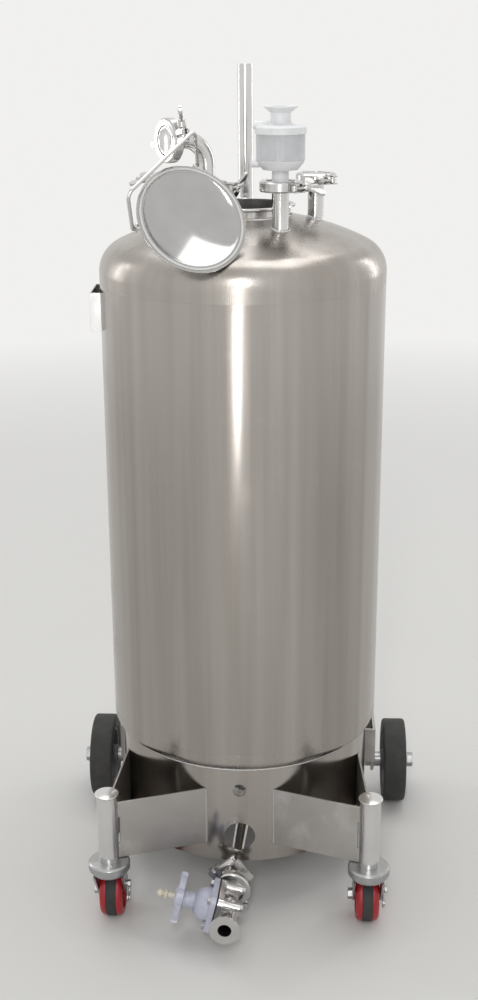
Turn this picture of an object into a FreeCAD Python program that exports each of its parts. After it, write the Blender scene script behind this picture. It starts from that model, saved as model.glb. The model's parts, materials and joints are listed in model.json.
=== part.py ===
import FreeCAD, Part
import math
import os

# Conical fermenter on wheels, in millimetres. +Z is up and the front, with the outlet valve, faces -Y.
# The origin is on the floor, on the axis of the tank.

Vector = FreeCAD.Vector
X, Y, Z = Vector(1, 0, 0), Vector(0, 1, 0), Vector(0, 0, 1)
SIDES = {"left": -1, "right": 1}

# Sheet and clearances
SHEET = 2.0
PLATE = 3.0
RUNNING_FIT = 0.05
SEAT_GAP = 0.3
WELD_GAP = 0.02

# Tank
SHELL_OD = 457.2
BOTTOM_FLANGE = 14.0
BOTTOM_KNUCKLE = 16.0
CONE_SLOPE = 38.0
SIDE_HEIGHT = 733.0
HEAD_FLANGE = 17.0
HEAD_KNUCKLE = 50.0
HEAD_CROWN = 457.2

# Skirt that carries the tank
SKIRT_OD = 429.0
SKIRT_BOTTOM_Z = 94.0
SMALL_HOLE_D = 22.0
SMALL_HOLE_Z = 227.0
LARGE_HOLE_D = 51.0
LARGE_HOLE_Z = 140.0

# Clamped pipe unions
PIPE_OD = 25.4
PIPE_WALL = 1.65
FLANGE_OD = 50.5
FLANGE_EDGE = 2.0
FLANGE_SLOPE = 20.0
GASKET = 1.6
CAP_THICKNESS = 6.4
CAP_FACE_D = 40.0
CAP_RECESS = 1.2
BEND_RADIUS = 38.1

# Ports on the top head
PORT_CIRCLE_R = 118.0
PORT_HEIGHT = 62.2
PORT_ANGLE = {"front_left": -114.5, "front_right": -58.9, "left": 166.0, "right": 13.0}
RISER_ANGLE = 90.0
RISER_HEIGHT = 234.2
COLLAR_OD = 33.0
COLLAR_HEIGHT = 16.0

# Clamps
CLAMP_OD = 64.0
CLAMP_WIDTH = 16.0
CLAMP_LIP_D = 43.0
CLAMP_CHAMFER = 2.5
CLAMP_SPLIT = 5.0
EAR_DEPTH = 8.0
EAR_HALF_WIDTH = 6.5
BOLT_R = 40.0
BOLT_D = 8.0
BOLT_LENGTH = 44.0
EYE_D = 10.0
CLAMP_PIN_D = 5.0
HINGE_LUG_D = 9.0
NUT_HUB_D = 13.0
NUT_HUB_LENGTH = 12.0
WING_REACH = 15.0
WING_D = 15.0
WING_THICKNESS = 4.0
WING_FLARE = 23.0
LEVER_LENGTH = 52.0
LEVER_WIDTH = 13.0
LEVER_THICKNESS = 4.0
LEVER_HUB_LENGTH = 28.0
PORT_CLAMP_ANGLE = {"front_left": -20.0, "front_right": -50.0, "left": -120.0, "right": -60.0}
PORT_CLAMP_AXIS = {"front_left": -Z, "front_right": -Z, "left": Z, "right": Z}
ELBOW_CLAMP_ANGLE = -12.0
VALVE_CLAMP_ANGLE = 40.0
NUT_TURN = {
    "front_left": 60.0,
    "front_right": -28.0,
    "left": 20.0,
    "right": -15.0,
    "elbow": 30.0,
    "valve": 180.0,
}

# Elbow and filter on the two front ports
ELBOW_RISE = 68.4
ELBOW_REACH = 62.0
ELBOW_TURN = 216.0
FILTER_NECK_HEIGHT = 22.4
FILTER_CONE_HEIGHT = 15.0
FILTER_BODY_HEIGHT = 37.5
FILTER_RING_HEIGHT = 12.5
FILTER_TOP_HEIGHT = 27.0
FILTER_BODY_D = 73.0
FILTER_RING_D = 76.0
FILTER_NECK_D = 30.0
FILTER_VENT_D = 12.0
FILTER_VENT_LENGTH = 14.0

# Mouth and lid
MOUTH_PIPE_OD = 152.4
MOUTH_FLANGE_OD = 167.0
MOUTH_FLANGE_EDGE = 2.6
MOUTH_HEIGHT = 17.1
SEAL_D = 156.0
SEAL_WIDTH = 3.2
SEAL_DEPTH = 1.2
DISH_OD = 144.0
DISH_LIP = 1.5
LID_DISH = 16.0
LID_ANGLE = -107.9
LID_INSET = 19.5
LID_RISE = 102.5
LID_TURN = 28.8
LID_LEAN = 31.4
BAIL_ROD_D = 5.6
BAIL_HALF_WIDTH = 77.5
BAIL_PIN_LENGTH = 12.0
BAIL_TURN = 36.5
BAIL_SWING = 60.0
BAIL_LENGTH = 68.5
BAIL_CORNER_R = 12.0
BAIL_PIN_R = 4.0
BAIL_HINGE_Y = 48.0
BAIL_HINGE_Z = -8.5
LUG_THICKNESS = 4.0
LUG_WIDTH = 12.0

# Bracket for a data plate on the left of the shell
PLATE_BRACKET_DROP = 44.0
PLATE_BRACKET_HEIGHT = 60.0
PLATE_BRACKET_WIDTH = 90.0
PLATE_STANDOFF = 13.0
PLATE_BRACKET_ANGLE = 182.0

# Front legs and their arms
LEG_ANGLE = -51.13
LEG_REACH = 123.3
LEG_OD = 33.4
LEG_WALL = 3.4
LEG_BOTTOM_Z = 123.0
LEG_TOP_Z = 244.0
LEG_CAP_OD = 39.0
LEG_CAP_RISE = 3.0
ARM_BOTTOM_Z = 124.0
ARM_HEIGHT = 102.0
INNER_ARM_ANGLE = -75.0
OUTER_ARM_ANGLE = -21.9
ARM_SLOT_WIDTH = 3.0
ARM_SLOT_LENGTH = 48.0

# Casters
CASTER_D = 89.0
CASTER_WIDTH = 38.0
CASTER_TRAIL = 35.0
TREAD_WIDTH = 17.0
TREAD_DEPTH = 8.0
CUP_OD = 68.0
CUP_RIM_Z = 109.0
CUP_WALL = 2.5
CROWN_OD = 60.0
CROWN_BOTTOM_Z = 100.0
KINGPIN_D = 12.0
FORK_PLATE = 3.0
FORK_GAP = 2.5
FORK_HALF_DEPTH = 22.0
FORK_BOSS_D = 22.0
CASTER_AXLE_D = 10.0
NUT_WIDTH = 16.0
NUT_HEIGHT = 7.0
BRAKE_PIVOT_Z = 66.0
BRAKE_PIVOT_D = 7.0
BRAKE_DROP = 27.0
BRAKE_STRAP = 2.5
BRAKE_WIDTH = 8.0
BRAKE_PAD_D = 15.0
BRAKE_HEAD = 4.0

# Rear wheels
WHEEL_D = 155.0
WHEEL_WIDTH = 42.0
WHEEL_OFFSET = 63.5
WHEEL_Y = 165.0
RIM_D = 104.0
HUB_D = 40.0
HUB_OVERHANG = 3.0
AXLE_D = 16.0
AXLE_NUT_WIDTH = 24.0
AXLE_NUT_HEIGHT = 11.0
WASHER_D = 30.0
WASHER_THICKNESS = 2.0
REAR_PLATE_OFFSET = 25.5
REAR_PLATE = 5.0
REAR_PLATE_TOP_Z = 170.0
REAR_PLATE_BOTTOM_Z = 100.0
REAR_ARM_FRONT = 55.0
REAR_ARM_BACK = 20.0
REAR_BOSS_D = 44.0

# Outlet and its diaphragm valve
OUTLET_Z = 62.0
OUTLET_TURN = -2.85
OUTLET_STUB = 7.4
OUTLET_REACH = 32.5
VALVE_LENGTH = 114.0
VALVE_TILT = 13.0
VALVE_PIPE_OD = 28.0
VALVE_BORE = 22.1
BONNET_FLANGE = 68.0
BONNET_FLANGE_R = 10.0
FLANGE_BASE = 11.0
FLANGE_THICKNESS = 9.0
DIAPHRAGM = 2.6
BONNET_BOLT_PITCH = 48.0
BONNET_BOLT_D = 7.0
BOSS_D = 14.0
BOSS_END = -16.0
BONNET_DOME_D = 54.0
BONNET_DOME_HEIGHT = 26.0
BONNET_NECK_D = 26.0
BONNET_NECK_END = 74.0
HANDWHEEL_D = 81.0
HANDWHEEL_THICKNESS = 13.0
HANDWHEEL_LOBES = 5
HANDWHEEL_SCALLOP_D = 30.0
HANDWHEEL_HUB_D = 30.0
SPINDLE_D = 9.0
SPINDLE_START = 36.0
SPINDLE_COLLAR_D = 15.0
SPINDLE_COLLAR = 102.0
SPINDLE_BALL_D = 12.0
SPINDLE_END = 119.0

# Derived from the sizes above
SHELL_R = SHELL_OD / 2
SKIRT_R = SKIRT_OD / 2
PIPE_R = PIPE_OD / 2
CONE_STEEPNESS = math.radians(90 - CONE_SLOPE)
CONE_OUTER_R = SHELL_R - BOTTOM_KNUCKLE * (1 - math.cos(CONE_STEEPNESS))
CONE_HEIGHT = (CONE_OUTER_R - PIPE_R) * math.tan(math.radians(CONE_SLOPE))
CONE_END_Z = OUTLET_Z + BEND_RADIUS + OUTLET_STUB
BOTTOM_TANGENT_Z = CONE_END_Z + CONE_HEIGHT + BOTTOM_KNUCKLE * math.sin(CONE_STEEPNESS)
SHELL_BOTTOM_Z = BOTTOM_TANGENT_Z + BOTTOM_FLANGE
HEAD_WELD_Z = SHELL_BOTTOM_Z + SIDE_HEIGHT
HEAD_TANGENT_Z = HEAD_WELD_Z + HEAD_FLANGE
HEAD_RISE = HEAD_CROWN - math.sqrt((HEAD_CROWN - HEAD_KNUCKLE) ** 2 - (SHELL_R - HEAD_KNUCKLE) ** 2)
FLANGE_R = FLANGE_OD / 2
SLOPE = math.tan(math.radians(FLANGE_SLOPE))
LEG_X = (SKIRT_R + LEG_REACH) * math.cos(math.radians(LEG_ANGLE))
LEG_Y = (SKIRT_R + LEG_REACH) * math.sin(math.radians(LEG_ANGLE))
WHEEL_X = SKIRT_R + WHEEL_OFFSET
REAR_PLATE_X = SKIRT_R + REAR_PLATE_OFFSET
INLET_FACE_Y = SKIRT_R + OUTLET_REACH
AXLE_Z = WHEEL_D / 2
CASTER_AXLE_Z = CASTER_D / 2
DIAPHRAGM_BASE = FLANGE_BASE + FLANGE_THICKNESS
BONNET_BASE = DIAPHRAGM_BASE + DIAPHRAGM
HANDWHEEL_START = BONNET_NECK_END + SEAT_GAP


def head_z(radius):
    # Height of the outside of the top head, on its crown.
    return HEAD_TANGENT_Z + HEAD_RISE - HEAD_CROWN + math.sqrt(HEAD_CROWN ** 2 - radius ** 2)


PORT_FACE_Z = head_z(PORT_CIRCLE_R) + PORT_HEIGHT
RISER_TOP_Z = head_z(PORT_CIRCLE_R) + RISER_HEIGHT
MOUTH_FACE_Z = head_z(MOUTH_PIPE_OD / 2) + MOUTH_HEIGHT


def polar(radius, degrees, z=0.0):
    angle = math.radians(degrees)
    return Vector(radius * math.cos(angle), radius * math.sin(angle), z)


def cylinder(diameter, height, base=Vector(), axis=Z):
    return Part.makeCylinder(diameter / 2, height, base, axis)


def tube(outer, inner, height, base=Vector(), axis=Z):
    return cylinder(outer, height, base, axis).cut(cylinder(inner, height, base, axis))


def box(low, high):
    size = high - low
    return Part.makeBox(size.x, size.y, size.z, low)


def outline(points, plane):
    # Each point is a pair, or a pair of pairs (a middle and an end) for an arc.
    edges = []
    last = first = plane(*points[0])
    for item in points[1:] + points[:1]:
        if isinstance(item[0], tuple):
            middle, end = plane(*item[0]), plane(*item[1])
            edges.append(Part.Arc(last, middle, end).toShape())
        else:
            end = plane(*item)
            if end.distanceToPoint(last) > 1e-6:
                edges.append(Part.LineSegment(last, end).toShape())
        last = end
    if last.distanceToPoint(first) > 1e-6:
        edges.append(Part.LineSegment(last, first).toShape())
    return Part.Face(Part.Wire(edges))


def revolved(points):
    return outline(points, lambda r, z: Vector(r, 0, z)).revolve(Vector(), Z, 360)


def extruded(points, height, plane=lambda x, y: Vector(x, y, 0), along=Z):
    return outline(points, plane).extrude(along * height)


def shallow_arc(radius, edge_z, apex_z):
    # Middle and end, on the axis, of an arc that starts at (radius, edge_z) and is level at the axis.
    rise = apex_z - edge_z
    sphere = (radius ** 2 + rise ** 2) / (2 * abs(rise))
    drop = sphere - math.sqrt(sphere ** 2 - (radius / 2) ** 2)
    return ((radius / 2, apex_z - math.copysign(drop, rise)), (0.0, apex_z))


def placement(origin, x_axis, z_axis):
    z = Vector(z_axis).normalize()
    x = Vector(x_axis) - z * x_axis.dot(z)
    x.normalize()
    return FreeCAD.Placement(origin, FreeCAD.Rotation(x, z.cross(x), z, "ZXY"))


def put(shape, place):
    moved = shape.copy()
    moved.Placement = place.multiply(moved.Placement)
    return moved


def turned(shape, axis, degrees, centre=Vector()):
    moved = shape.copy()
    moved.rotate(centre, axis, degrees)
    return moved


def mirrored_x(shape):
    return shape.mirror(Vector(), X)


def fused(shapes):
    shapes = list(shapes)
    return shapes[0].fuse(shapes[1:]).removeSplitter() if len(shapes) > 1 else shapes[0]


def group(*shapes):
    return Part.makeCompound([solid for shape in shapes for solid in shape.Solids])


def hexagon(width, height, base, axis):
    corner = width / math.sqrt(3)
    angles = [math.radians(60 * step) for step in range(6)]
    corners = [(corner * math.cos(angle), corner * math.sin(angle)) for angle in angles]
    across = Y if abs(axis.dot(Y)) < 0.9 else X
    return put(extruded(corners, height), placement(base, across, axis))


def rounded_square(width, corner, thickness):
    block = Part.makeBox(width, width, thickness, Vector(-width / 2, -width / 2, 0))
    upright = [e for e in block.Edges if abs(e.tangentAt(e.FirstParameter).z) > 0.9]
    return block.makeFillet(corner, upright)


def rod(points, diameter, radii):
    # A round rod along straight runs, joined by tangent arcs of the given radii.
    edges = []
    last = points[0]
    for corner, after, radius in zip(points[1:-1], points[2:], radii):
        before = (last - corner).normalize()
        ahead = (after - corner).normalize()
        half = before.getAngle(ahead) / 2
        reach = radius / math.tan(half)
        middle = (before + ahead).normalize() * (radius / math.sin(half) - radius)
        start, end = corner + before * reach, corner + ahead * reach
        edges.append(Part.LineSegment(last, start).toShape())
        edges.append(Part.Arc(start, corner + middle, end).toShape())
        last = end
    edges.append(Part.LineSegment(last, points[-1]).toShape())
    circle = Part.Wire(Part.makeCircle(diameter / 2, points[0], points[1] - points[0]))
    return Part.Wire(edges).makePipeShell([circle], True, False)


# Tank

def dished_outline(shell_r, knuckle, crown):
    # Knuckle and crown arcs of a dished head from its tangent line to the axis, rising from z = 0.
    rise = crown - math.sqrt((crown - knuckle) ** 2 - (shell_r - knuckle) ** 2)
    join = math.atan2(crown - rise, shell_r - knuckle)

    def on_knuckle(angle):
        return (shell_r - knuckle + knuckle * math.cos(angle), knuckle * math.sin(angle))

    def on_crown(angle):
        return (crown * math.cos(angle), rise - crown + crown * math.sin(angle))

    half_way = (join + math.pi / 2) / 2
    return [
        (on_knuckle(join / 2), on_knuckle(join)),
        (on_crown(half_way), (0.0, rise)),
    ]


def lifted(points, z):
    moved = []
    for item in points:
        if isinstance(item[0], tuple):
            moved.append(tuple((r, height + z) for r, height in item))
        else:
            moved.append((item[0], item[1] + z))
    return moved


def dished_solid(offset, base_z):
    arcs = dished_outline(SHELL_R - offset, HEAD_KNUCKLE - offset, HEAD_CROWN - offset)
    points = [(0.0, base_z), (SHELL_R - offset, base_z), (SHELL_R - offset, HEAD_TANGENT_Z)]
    return revolved(points + lifted(arcs, HEAD_TANGENT_Z))


def port_centre(angle, z=0.0):
    return polar(PORT_CIRCLE_R, angle, z)


def top_head():
    head = dished_solid(0.0, HEAD_WELD_Z).cut(dished_solid(SHEET, HEAD_WELD_Z - 1))
    holes = [cylinder(MOUTH_PIPE_OD + 2 * WELD_GAP, HEAD_CROWN, Vector(0, 0, HEAD_WELD_Z))]
    for angle in list(PORT_ANGLE.values()) + [RISER_ANGLE]:
        holes.append(cylinder(PIPE_OD + 2 * WELD_GAP, HEAD_CROWN, port_centre(angle, HEAD_WELD_Z)))
    return head.cut(holes)


def shell():
    return tube(SHELL_OD, SHELL_OD - 2 * SHEET, SIDE_HEIGHT, Vector(0, 0, SHELL_BOTTOM_Z))


def bottom_outline(offset):
    # From the top of the bottom head down its knuckle to the start of the cone.
    radius, knuckle = SHELL_R - offset, BOTTOM_KNUCKLE - offset

    def on_knuckle(angle):
        return (
            radius - knuckle + knuckle * math.cos(angle),
            BOTTOM_TANGENT_Z - knuckle * math.sin(angle),
        )

    return [
        (radius, SHELL_BOTTOM_Z),
        (radius, BOTTOM_TANGENT_Z),
        (on_knuckle(CONE_STEEPNESS / 2), on_knuckle(CONE_STEEPNESS)),
    ]


def cone_z(radius, offset=0.0):
    cone_top = bottom_outline(offset)[-1][1]
    return cone_top[1] - (cone_top[0] - radius) * math.tan(math.radians(CONE_SLOPE))


def bottom_cone():
    outside = revolved([(0.0, SHELL_BOTTOM_Z)] + bottom_outline(0.0) + [(0.0, cone_z(0.0))])
    inside = revolved([(0.0, SHELL_BOTTOM_Z)] + bottom_outline(SHEET) + [(0.0, cone_z(0.0, SHEET))])
    outlet = cylinder(PIPE_OD + 2 * WELD_GAP, BOTTOM_TANGENT_Z)
    return outside.cut([inside, outlet])


def skirt():
    inner = SKIRT_R - SHEET
    wall = revolved([
        (inner, SKIRT_BOTTOM_Z),
        (SKIRT_R, SKIRT_BOTTOM_Z),
        (SKIRT_R, cone_z(SKIRT_R)),
        (inner, cone_z(inner)),
    ])
    holes = [
        cylinder(SMALL_HOLE_D, SKIRT_R + 1, Vector(0, 0, SMALL_HOLE_Z), -Y),
        cylinder(LARGE_HOLE_D, SKIRT_R + 1, Vector(0, 0, LARGE_HOLE_Z), -Y),
    ]
    return wall.cut(holes)


def plate_bracket():
    # A flat plate that stands off the shell on two folded sides.
    half = PLATE_BRACKET_WIDTH / 2
    front = SHELL_R + PLATE_STANDOFF
    plate = box(Vector(front - SHEET, -half, 0), Vector(front, half, PLATE_BRACKET_HEIGHT))
    for y in (-half, half - SHEET):
        plate = plate.fuse(box(Vector(SHELL_R - 30, y, 0), Vector(front, y + SHEET, PLATE_BRACKET_HEIGHT)))
    plate = plate.cut(cylinder(SHELL_OD + 2 * WELD_GAP, PLATE_BRACKET_HEIGHT))
    plate = turned(plate.removeSplitter(), Z, PLATE_BRACKET_ANGLE)
    plate.translate(Vector(0, 0, HEAD_WELD_Z - PLATE_BRACKET_DROP - PLATE_BRACKET_HEIGHT / 2))
    return plate


# Pipe unions. In their own frame the sealing face is at z = 0.

def ferrule(pipe_od, wall, flange_od, edge, length):
    pipe_r, flange_r = pipe_od / 2, flange_od / 2
    bore = pipe_r - wall
    return revolved([
        (bore, 0.0),
        (flange_r, 0.0),
        (flange_r, -edge),
        (pipe_r, -edge - (flange_r - pipe_r) * SLOPE),
        (pipe_r, -length),
        (bore, -length),
    ])


def pipe_ferrule(length):
    return ferrule(PIPE_OD, PIPE_WALL, FLANGE_OD, FLANGE_EDGE, length)


def gasket():
    return tube(FLANGE_OD - 2 * WELD_GAP, PIPE_OD - 2 * PIPE_WALL, GASKET)


def end_cap():
    face_r = CAP_FACE_D / 2
    shoulder_z = FLANGE_EDGE + (FLANGE_R - face_r - 1) * SLOPE
    return revolved([
        (0.0, 0.0),
        (FLANGE_R, 0.0),
        (FLANGE_R, FLANGE_EDGE),
        (face_r + 1, shoulder_z),
        (face_r, CAP_THICKNESS),
        (face_r - 3, CAP_THICKNESS),
        (face_r - 5, CAP_THICKNESS - CAP_RECESS),
        (0.0, CAP_THICKNESS - CAP_RECESS),
    ])


def pipe_bend():
    # A quarter bend that starts at the origin along +Z and ends along +X.
    ring = Part.Face([
        Part.Wire(Part.makeCircle(PIPE_R)),
        Part.Wire(Part.makeCircle(PIPE_R - PIPE_WALL)),
    ])
    return ring.revolve(Vector(BEND_RADIUS, 0, 0), Y, 90)


def pipe(length, base, axis):
    return tube(PIPE_OD, PIPE_OD - 2 * PIPE_WALL, length, base, axis)


def port_place(name, z=PORT_FACE_Z):
    return placement(port_centre(PORT_ANGLE[name], z), X, Z)


def port_tubes():
    length = PORT_FACE_Z - head_z(PORT_CIRCLE_R) + 3 * SHEET
    return group(*(put(pipe_ferrule(length), port_place(name)) for name in PORT_ANGLE))


def riser_tube():
    base_z = head_z(PORT_CIRCLE_R) - 3 * SHEET
    return pipe(RISER_TOP_Z - base_z, port_centre(RISER_ANGLE, base_z), Z)


def riser_collar():
    base = port_centre(RISER_ANGLE, head_z(PORT_CIRCLE_R) - 3 * SHEET)
    height = COLLAR_HEIGHT + 3 * SHEET
    collar = tube(COLLAR_OD, PIPE_OD + 2 * WELD_GAP, height, base)
    return collar.cut(dished_solid(-WELD_GAP, HEAD_WELD_Z - 1))


def mouth_ferrule():
    length = MOUTH_FACE_Z - head_z(MOUTH_PIPE_OD / 2) + 3 * SHEET
    body = ferrule(MOUTH_PIPE_OD, SHEET, MOUTH_FLANGE_OD, MOUTH_FLANGE_EDGE, length)
    return put(body.cut(seal_ring(0.0)), placement(Vector(0, 0, MOUTH_FACE_Z), X, Z))


def seal_ring(clearance):
    outer = SEAL_D / 2 + SEAL_WIDTH / 2 - clearance
    inner = SEAL_D / 2 - SEAL_WIDTH / 2 + clearance
    return tube(2 * outer, 2 * inner, 2 * SEAL_DEPTH, Vector(0, 0, -SEAL_DEPTH))


# Clamps. In its own frame a clamp lies in the plane z = 0 with its bolt on the +X side, along -Y.

def clamp_hub(z_low, z_high, side):
    # One knuckle of the hinge on the -X side, with the web that carries it on the given side of y = 0.
    x = -CLAMP_OD / 2 - HINGE_LUG_D / 2 - SEAT_GAP
    height = z_high - z_low
    knuckle = cylinder(HINGE_LUG_D, height, Vector(x, 0, z_low))
    near, far = sorted((side * SEAT_GAP, side * HINGE_LUG_D / 2))
    web = box(Vector(x, near, z_low), Vector(3 - CLAMP_OD / 2, far, z_high))
    return knuckle.fuse(web)


def clamp_jaws():
    outer, lip, half = CLAMP_OD / 2, CLAMP_LIP_D / 2, CLAMP_WIDTH / 2
    groove_r = FLANGE_R + SEAT_GAP
    groove_z = GASKET / 2 + FLANGE_EDGE + RUNNING_FIT
    lip_z = groove_z + (groove_r - lip) * SLOPE
    ring = revolved([
        (lip, half),
        (outer - CLAMP_CHAMFER, half),
        (outer, half - CLAMP_CHAMFER),
        (outer, CLAMP_CHAMFER - half),
        (outer - CLAMP_CHAMFER, -half),
        (lip, -half),
        (lip, -lip_z),
        (groove_r, -groove_z),
        (groove_r, groove_z),
        (lip, lip_z),
    ])
    wide = CLAMP_OD
    ear_end = BOLT_R + BOLT_D
    slot_start = BOLT_R - EYE_D / 2 - SEAT_GAP
    slot_half = BOLT_D / 2 + SEAT_GAP
    slot = box(Vector(slot_start, -wide, -slot_half), Vector(wide, wide, slot_half))
    hinge_x = -CLAMP_OD / 2 - HINGE_LUG_D / 2 - SEAT_GAP
    third = CLAMP_WIDTH / 6
    pivot = Vector(BOLT_R, pivot_y(), 0)
    jaws = []
    for side in (1, -1):
        split = CLAMP_SPLIT / 2
        low, high = sorted((side * split, side * (split + EAR_DEPTH)))
        ear = box(Vector(groove_r + 1, low, -EAR_HALF_WIDTH), Vector(ear_end, high, EAR_HALF_WIDTH))
        if side < 0:
            ear = ear.common(cylinder(2 * (pivot_y() - low), 2 * wide, pivot - Z * wide))
        low, high = sorted((side * SEAT_GAP, side * wide))
        half_ring = ring.common(box(Vector(-wide, low, -wide), Vector(wide, high, wide)))
        low, high = sorted((side * split, -side * wide))
        half_ring = half_ring.cut(box(Vector(0, low, -wide), Vector(wide, high, wide)))
        if side > 0:
            knuckles = [clamp_hub(third + RUNNING_FIT, half, 1), clamp_hub(-half, -third - RUNNING_FIT, 1)]
        else:
            knuckles = [clamp_hub(-third, third, -1)]
        jaw = fused([half_ring, ear] + knuckles).cut(slot)
        jaw = jaw.cut(cylinder(CLAMP_PIN_D, 2 * wide, Vector(hinge_x, 0, -wide)))
        if side > 0:
            jaw = jaw.cut(cylinder(CLAMP_PIN_D, 2 * wide, pivot - Z * wide))
        jaws.append(jaw)
    pin = CLAMP_PIN_D - 2 * WELD_GAP
    hinge_pin = cylinder(pin, CLAMP_WIDTH, Vector(hinge_x, 0, -half))
    pivot_pin = cylinder(pin, 2 * EAR_HALF_WIDTH, pivot - Z * EAR_HALF_WIDTH)
    return group(*jaws, hinge_pin, pivot_pin)


def pivot_y():
    return CLAMP_SPLIT / 2 + EAR_DEPTH / 2


def nut_seat_y():
    return -CLAMP_SPLIT / 2 - EAR_DEPTH - SEAT_GAP


def swing_bolt():
    pivot = Vector(BOLT_R, pivot_y(), 0)
    eye = cylinder(EYE_D, BOLT_D, pivot - Z * BOLT_D / 2)
    shank = cylinder(BOLT_D - 0.5, BOLT_LENGTH, pivot, -Y)
    hole = cylinder(CLAMP_PIN_D - 2 * WELD_GAP + 2 * RUNNING_FIT, 2 * BOLT_D, pivot - Z * BOLT_D)
    return fused([eye, shank]).cut(hole)


def nut_bore():
    base = Vector(BOLT_R, nut_seat_y() + 1, 0)
    return cylinder(BOLT_D - 0.5 + 2 * RUNNING_FIT, 2 * BOLT_LENGTH, base, -Y)


def nut_hub(length=NUT_HUB_LENGTH):
    base = Vector(BOLT_R, nut_seat_y(), 0)
    hub = cylinder(NUT_HUB_D, length, base, -Y)
    return hub.makeChamfer(1.0, [hub.Edges[0], hub.Edges[2]])


def wing_nut(turn):
    # Two flared wings on a round hub, turned about the bolt.
    half = WING_THICKNESS / 2
    tip_y = nut_seat_y() - WING_FLARE
    root_y = nut_seat_y() - NUT_HUB_LENGTH / 2
    root_end_y = nut_seat_y() - NUT_HUB_LENGTH
    wings = []
    for side in (1, -1):
        tip = Vector(side * WING_REACH, tip_y, -half)
        pad = cylinder(WING_D, WING_THICKNESS, tip)
        lean = WING_D / 2 * 0.7
        web = extruded([
            (side * 4, root_y),
            (side * (WING_REACH + lean), tip_y + lean),
            (side * (WING_REACH - lean), tip_y - lean),
            (side * 4, root_end_y),
        ], WING_THICKNESS)
        web.translate(Vector(0, 0, -half))
        wings += [pad, web]
    wings = turned(fused(wings), Y, turn)
    wings.translate(Vector(BOLT_R, 0, 0))
    return fused([nut_hub(), wings]).cut(nut_bore())


def lever_nut(turn):
    # A flat bar across the hub in place of wings, longer on one side.
    end_y = nut_seat_y() - LEVER_HUB_LENGTH
    low = Vector(-LEVER_WIDTH / 2, end_y - LEVER_WIDTH / 2, -LEVER_THICKNESS / 2)
    high = Vector(LEVER_LENGTH - LEVER_WIDTH / 2, end_y + LEVER_WIDTH / 2, LEVER_THICKNESS / 2)
    bar = box(low, high)
    ends = [e for e in bar.Edges if abs(e.tangentAt(e.FirstParameter).z) > 0.9]
    bar = turned(bar.makeFillet(LEVER_WIDTH * 0.3, ends), Y, turn)
    bar.translate(Vector(BOLT_R, 0, 0))
    return fused([nut_hub(LEVER_HUB_LENGTH), bar]).cut(nut_bore())


# Elbow, caps and filter

def elbow_place():
    return placement(port_centre(PORT_ANGLE["front_left"], PORT_FACE_Z + GASKET), polar(1, ELBOW_TURN), Z)


def elbow():
    rise, reach = ELBOW_RISE - BEND_RADIUS, ELBOW_REACH - BEND_RADIUS
    foot = turned(pipe_ferrule(rise), X, 180)
    bend = pipe_bend()
    bend.translate(Vector(0, 0, rise))
    end = put(pipe_ferrule(reach), placement(Vector(ELBOW_REACH, 0, ELBOW_RISE), Y, X))
    return put(fused([foot, bend, end]), elbow_place())


def elbow_outlet():
    return elbow_place().multVec(Vector(ELBOW_REACH, 0, ELBOW_RISE)), polar(1, ELBOW_TURN)


def capped_joints():
    outlet, outward = elbow_outlet()
    return [
        placement(outlet, Z, outward),
        port_place("left"),
        port_place("right"),
    ]


def filter_axis(z):
    return port_centre(PORT_ANGLE["front_right"], z)


def filter_body():
    # A moulded capsule with a hose neck and flange at the bottom.
    neck_r = PIPE_R
    body_r = FILTER_BODY_D / 2
    bore = PIPE_R - PIPE_WALL
    cone_top = FILTER_NECK_HEIGHT + FILTER_CONE_HEIGHT
    body_top = cone_top + FILTER_BODY_HEIGHT
    points = [
        (bore, 0.0),
        (FLANGE_R, 0.0),
        (FLANGE_R, FLANGE_EDGE),
        (neck_r, FLANGE_EDGE + (FLANGE_R - neck_r) * SLOPE),
        (neck_r, FILTER_NECK_HEIGHT),
        (body_r * 0.72, FILTER_NECK_HEIGHT + 1),
        (body_r - 2, cone_top - 4),
        (body_r, cone_top),
        (body_r, body_top),
        (bore, body_top),
    ]
    vent = cylinder(FILTER_VENT_D, body_r * 0.8 + FILTER_VENT_LENGTH, Vector(0, 0, cone_top - 5), -X)
    body = fused([revolved(points), vent]).cut(cylinder(2 * bore, body_top))
    return put(body, placement(filter_axis(PORT_FACE_Z + GASKET), X, Z))


def filter_cap():
    # The upper half of the capsule: a ring, a shoulder, the upper neck and its flange.
    ring_r = FILTER_RING_D / 2
    neck_r = FILTER_NECK_D / 2
    shoulder = FILTER_RING_HEIGHT
    height = shoulder + FILTER_TOP_HEIGHT
    bore = neck_r - 3
    taper = (FLANGE_R - neck_r) * SLOPE * 2
    points = [
        (bore, 0.0),
        (ring_r, 0.0),
        (ring_r, shoulder - 3),
        (ring_r - 3, shoulder),
        (neck_r + 4, shoulder + 1),
        (neck_r, shoulder + 5),
        (neck_r, height - FLANGE_EDGE - taper),
        (FLANGE_R, height - FLANGE_EDGE),
        (FLANGE_R, height),
        (bore, height),
    ]
    vent = cylinder(FILTER_VENT_D, ring_r * 0.7 + FILTER_VENT_LENGTH, Vector(0, 0, shoulder), -X)
    cap = fused([revolved(points), vent]).cut(cylinder(2 * bore, height))
    base_z = PORT_FACE_Z + GASKET + FILTER_NECK_HEIGHT + FILTER_CONE_HEIGHT + FILTER_BODY_HEIGHT
    return put(cap, placement(filter_axis(base_z), X, Z))


# Lid, in its own frame: the dished face looks along +Z, its sealing face is at z = 0.

def lid_normal():
    lean, turn = math.radians(LID_LEAN), math.radians(LID_TURN)
    return Vector(math.cos(lean) * math.sin(turn), -math.cos(lean) * math.cos(turn), math.sin(lean))


def lid_place():
    centre = polar(SHELL_R - LID_INSET, LID_ANGLE, HEAD_TANGENT_Z + LID_RISE)
    return placement(centre, Z.cross(lid_normal()), lid_normal())


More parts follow.
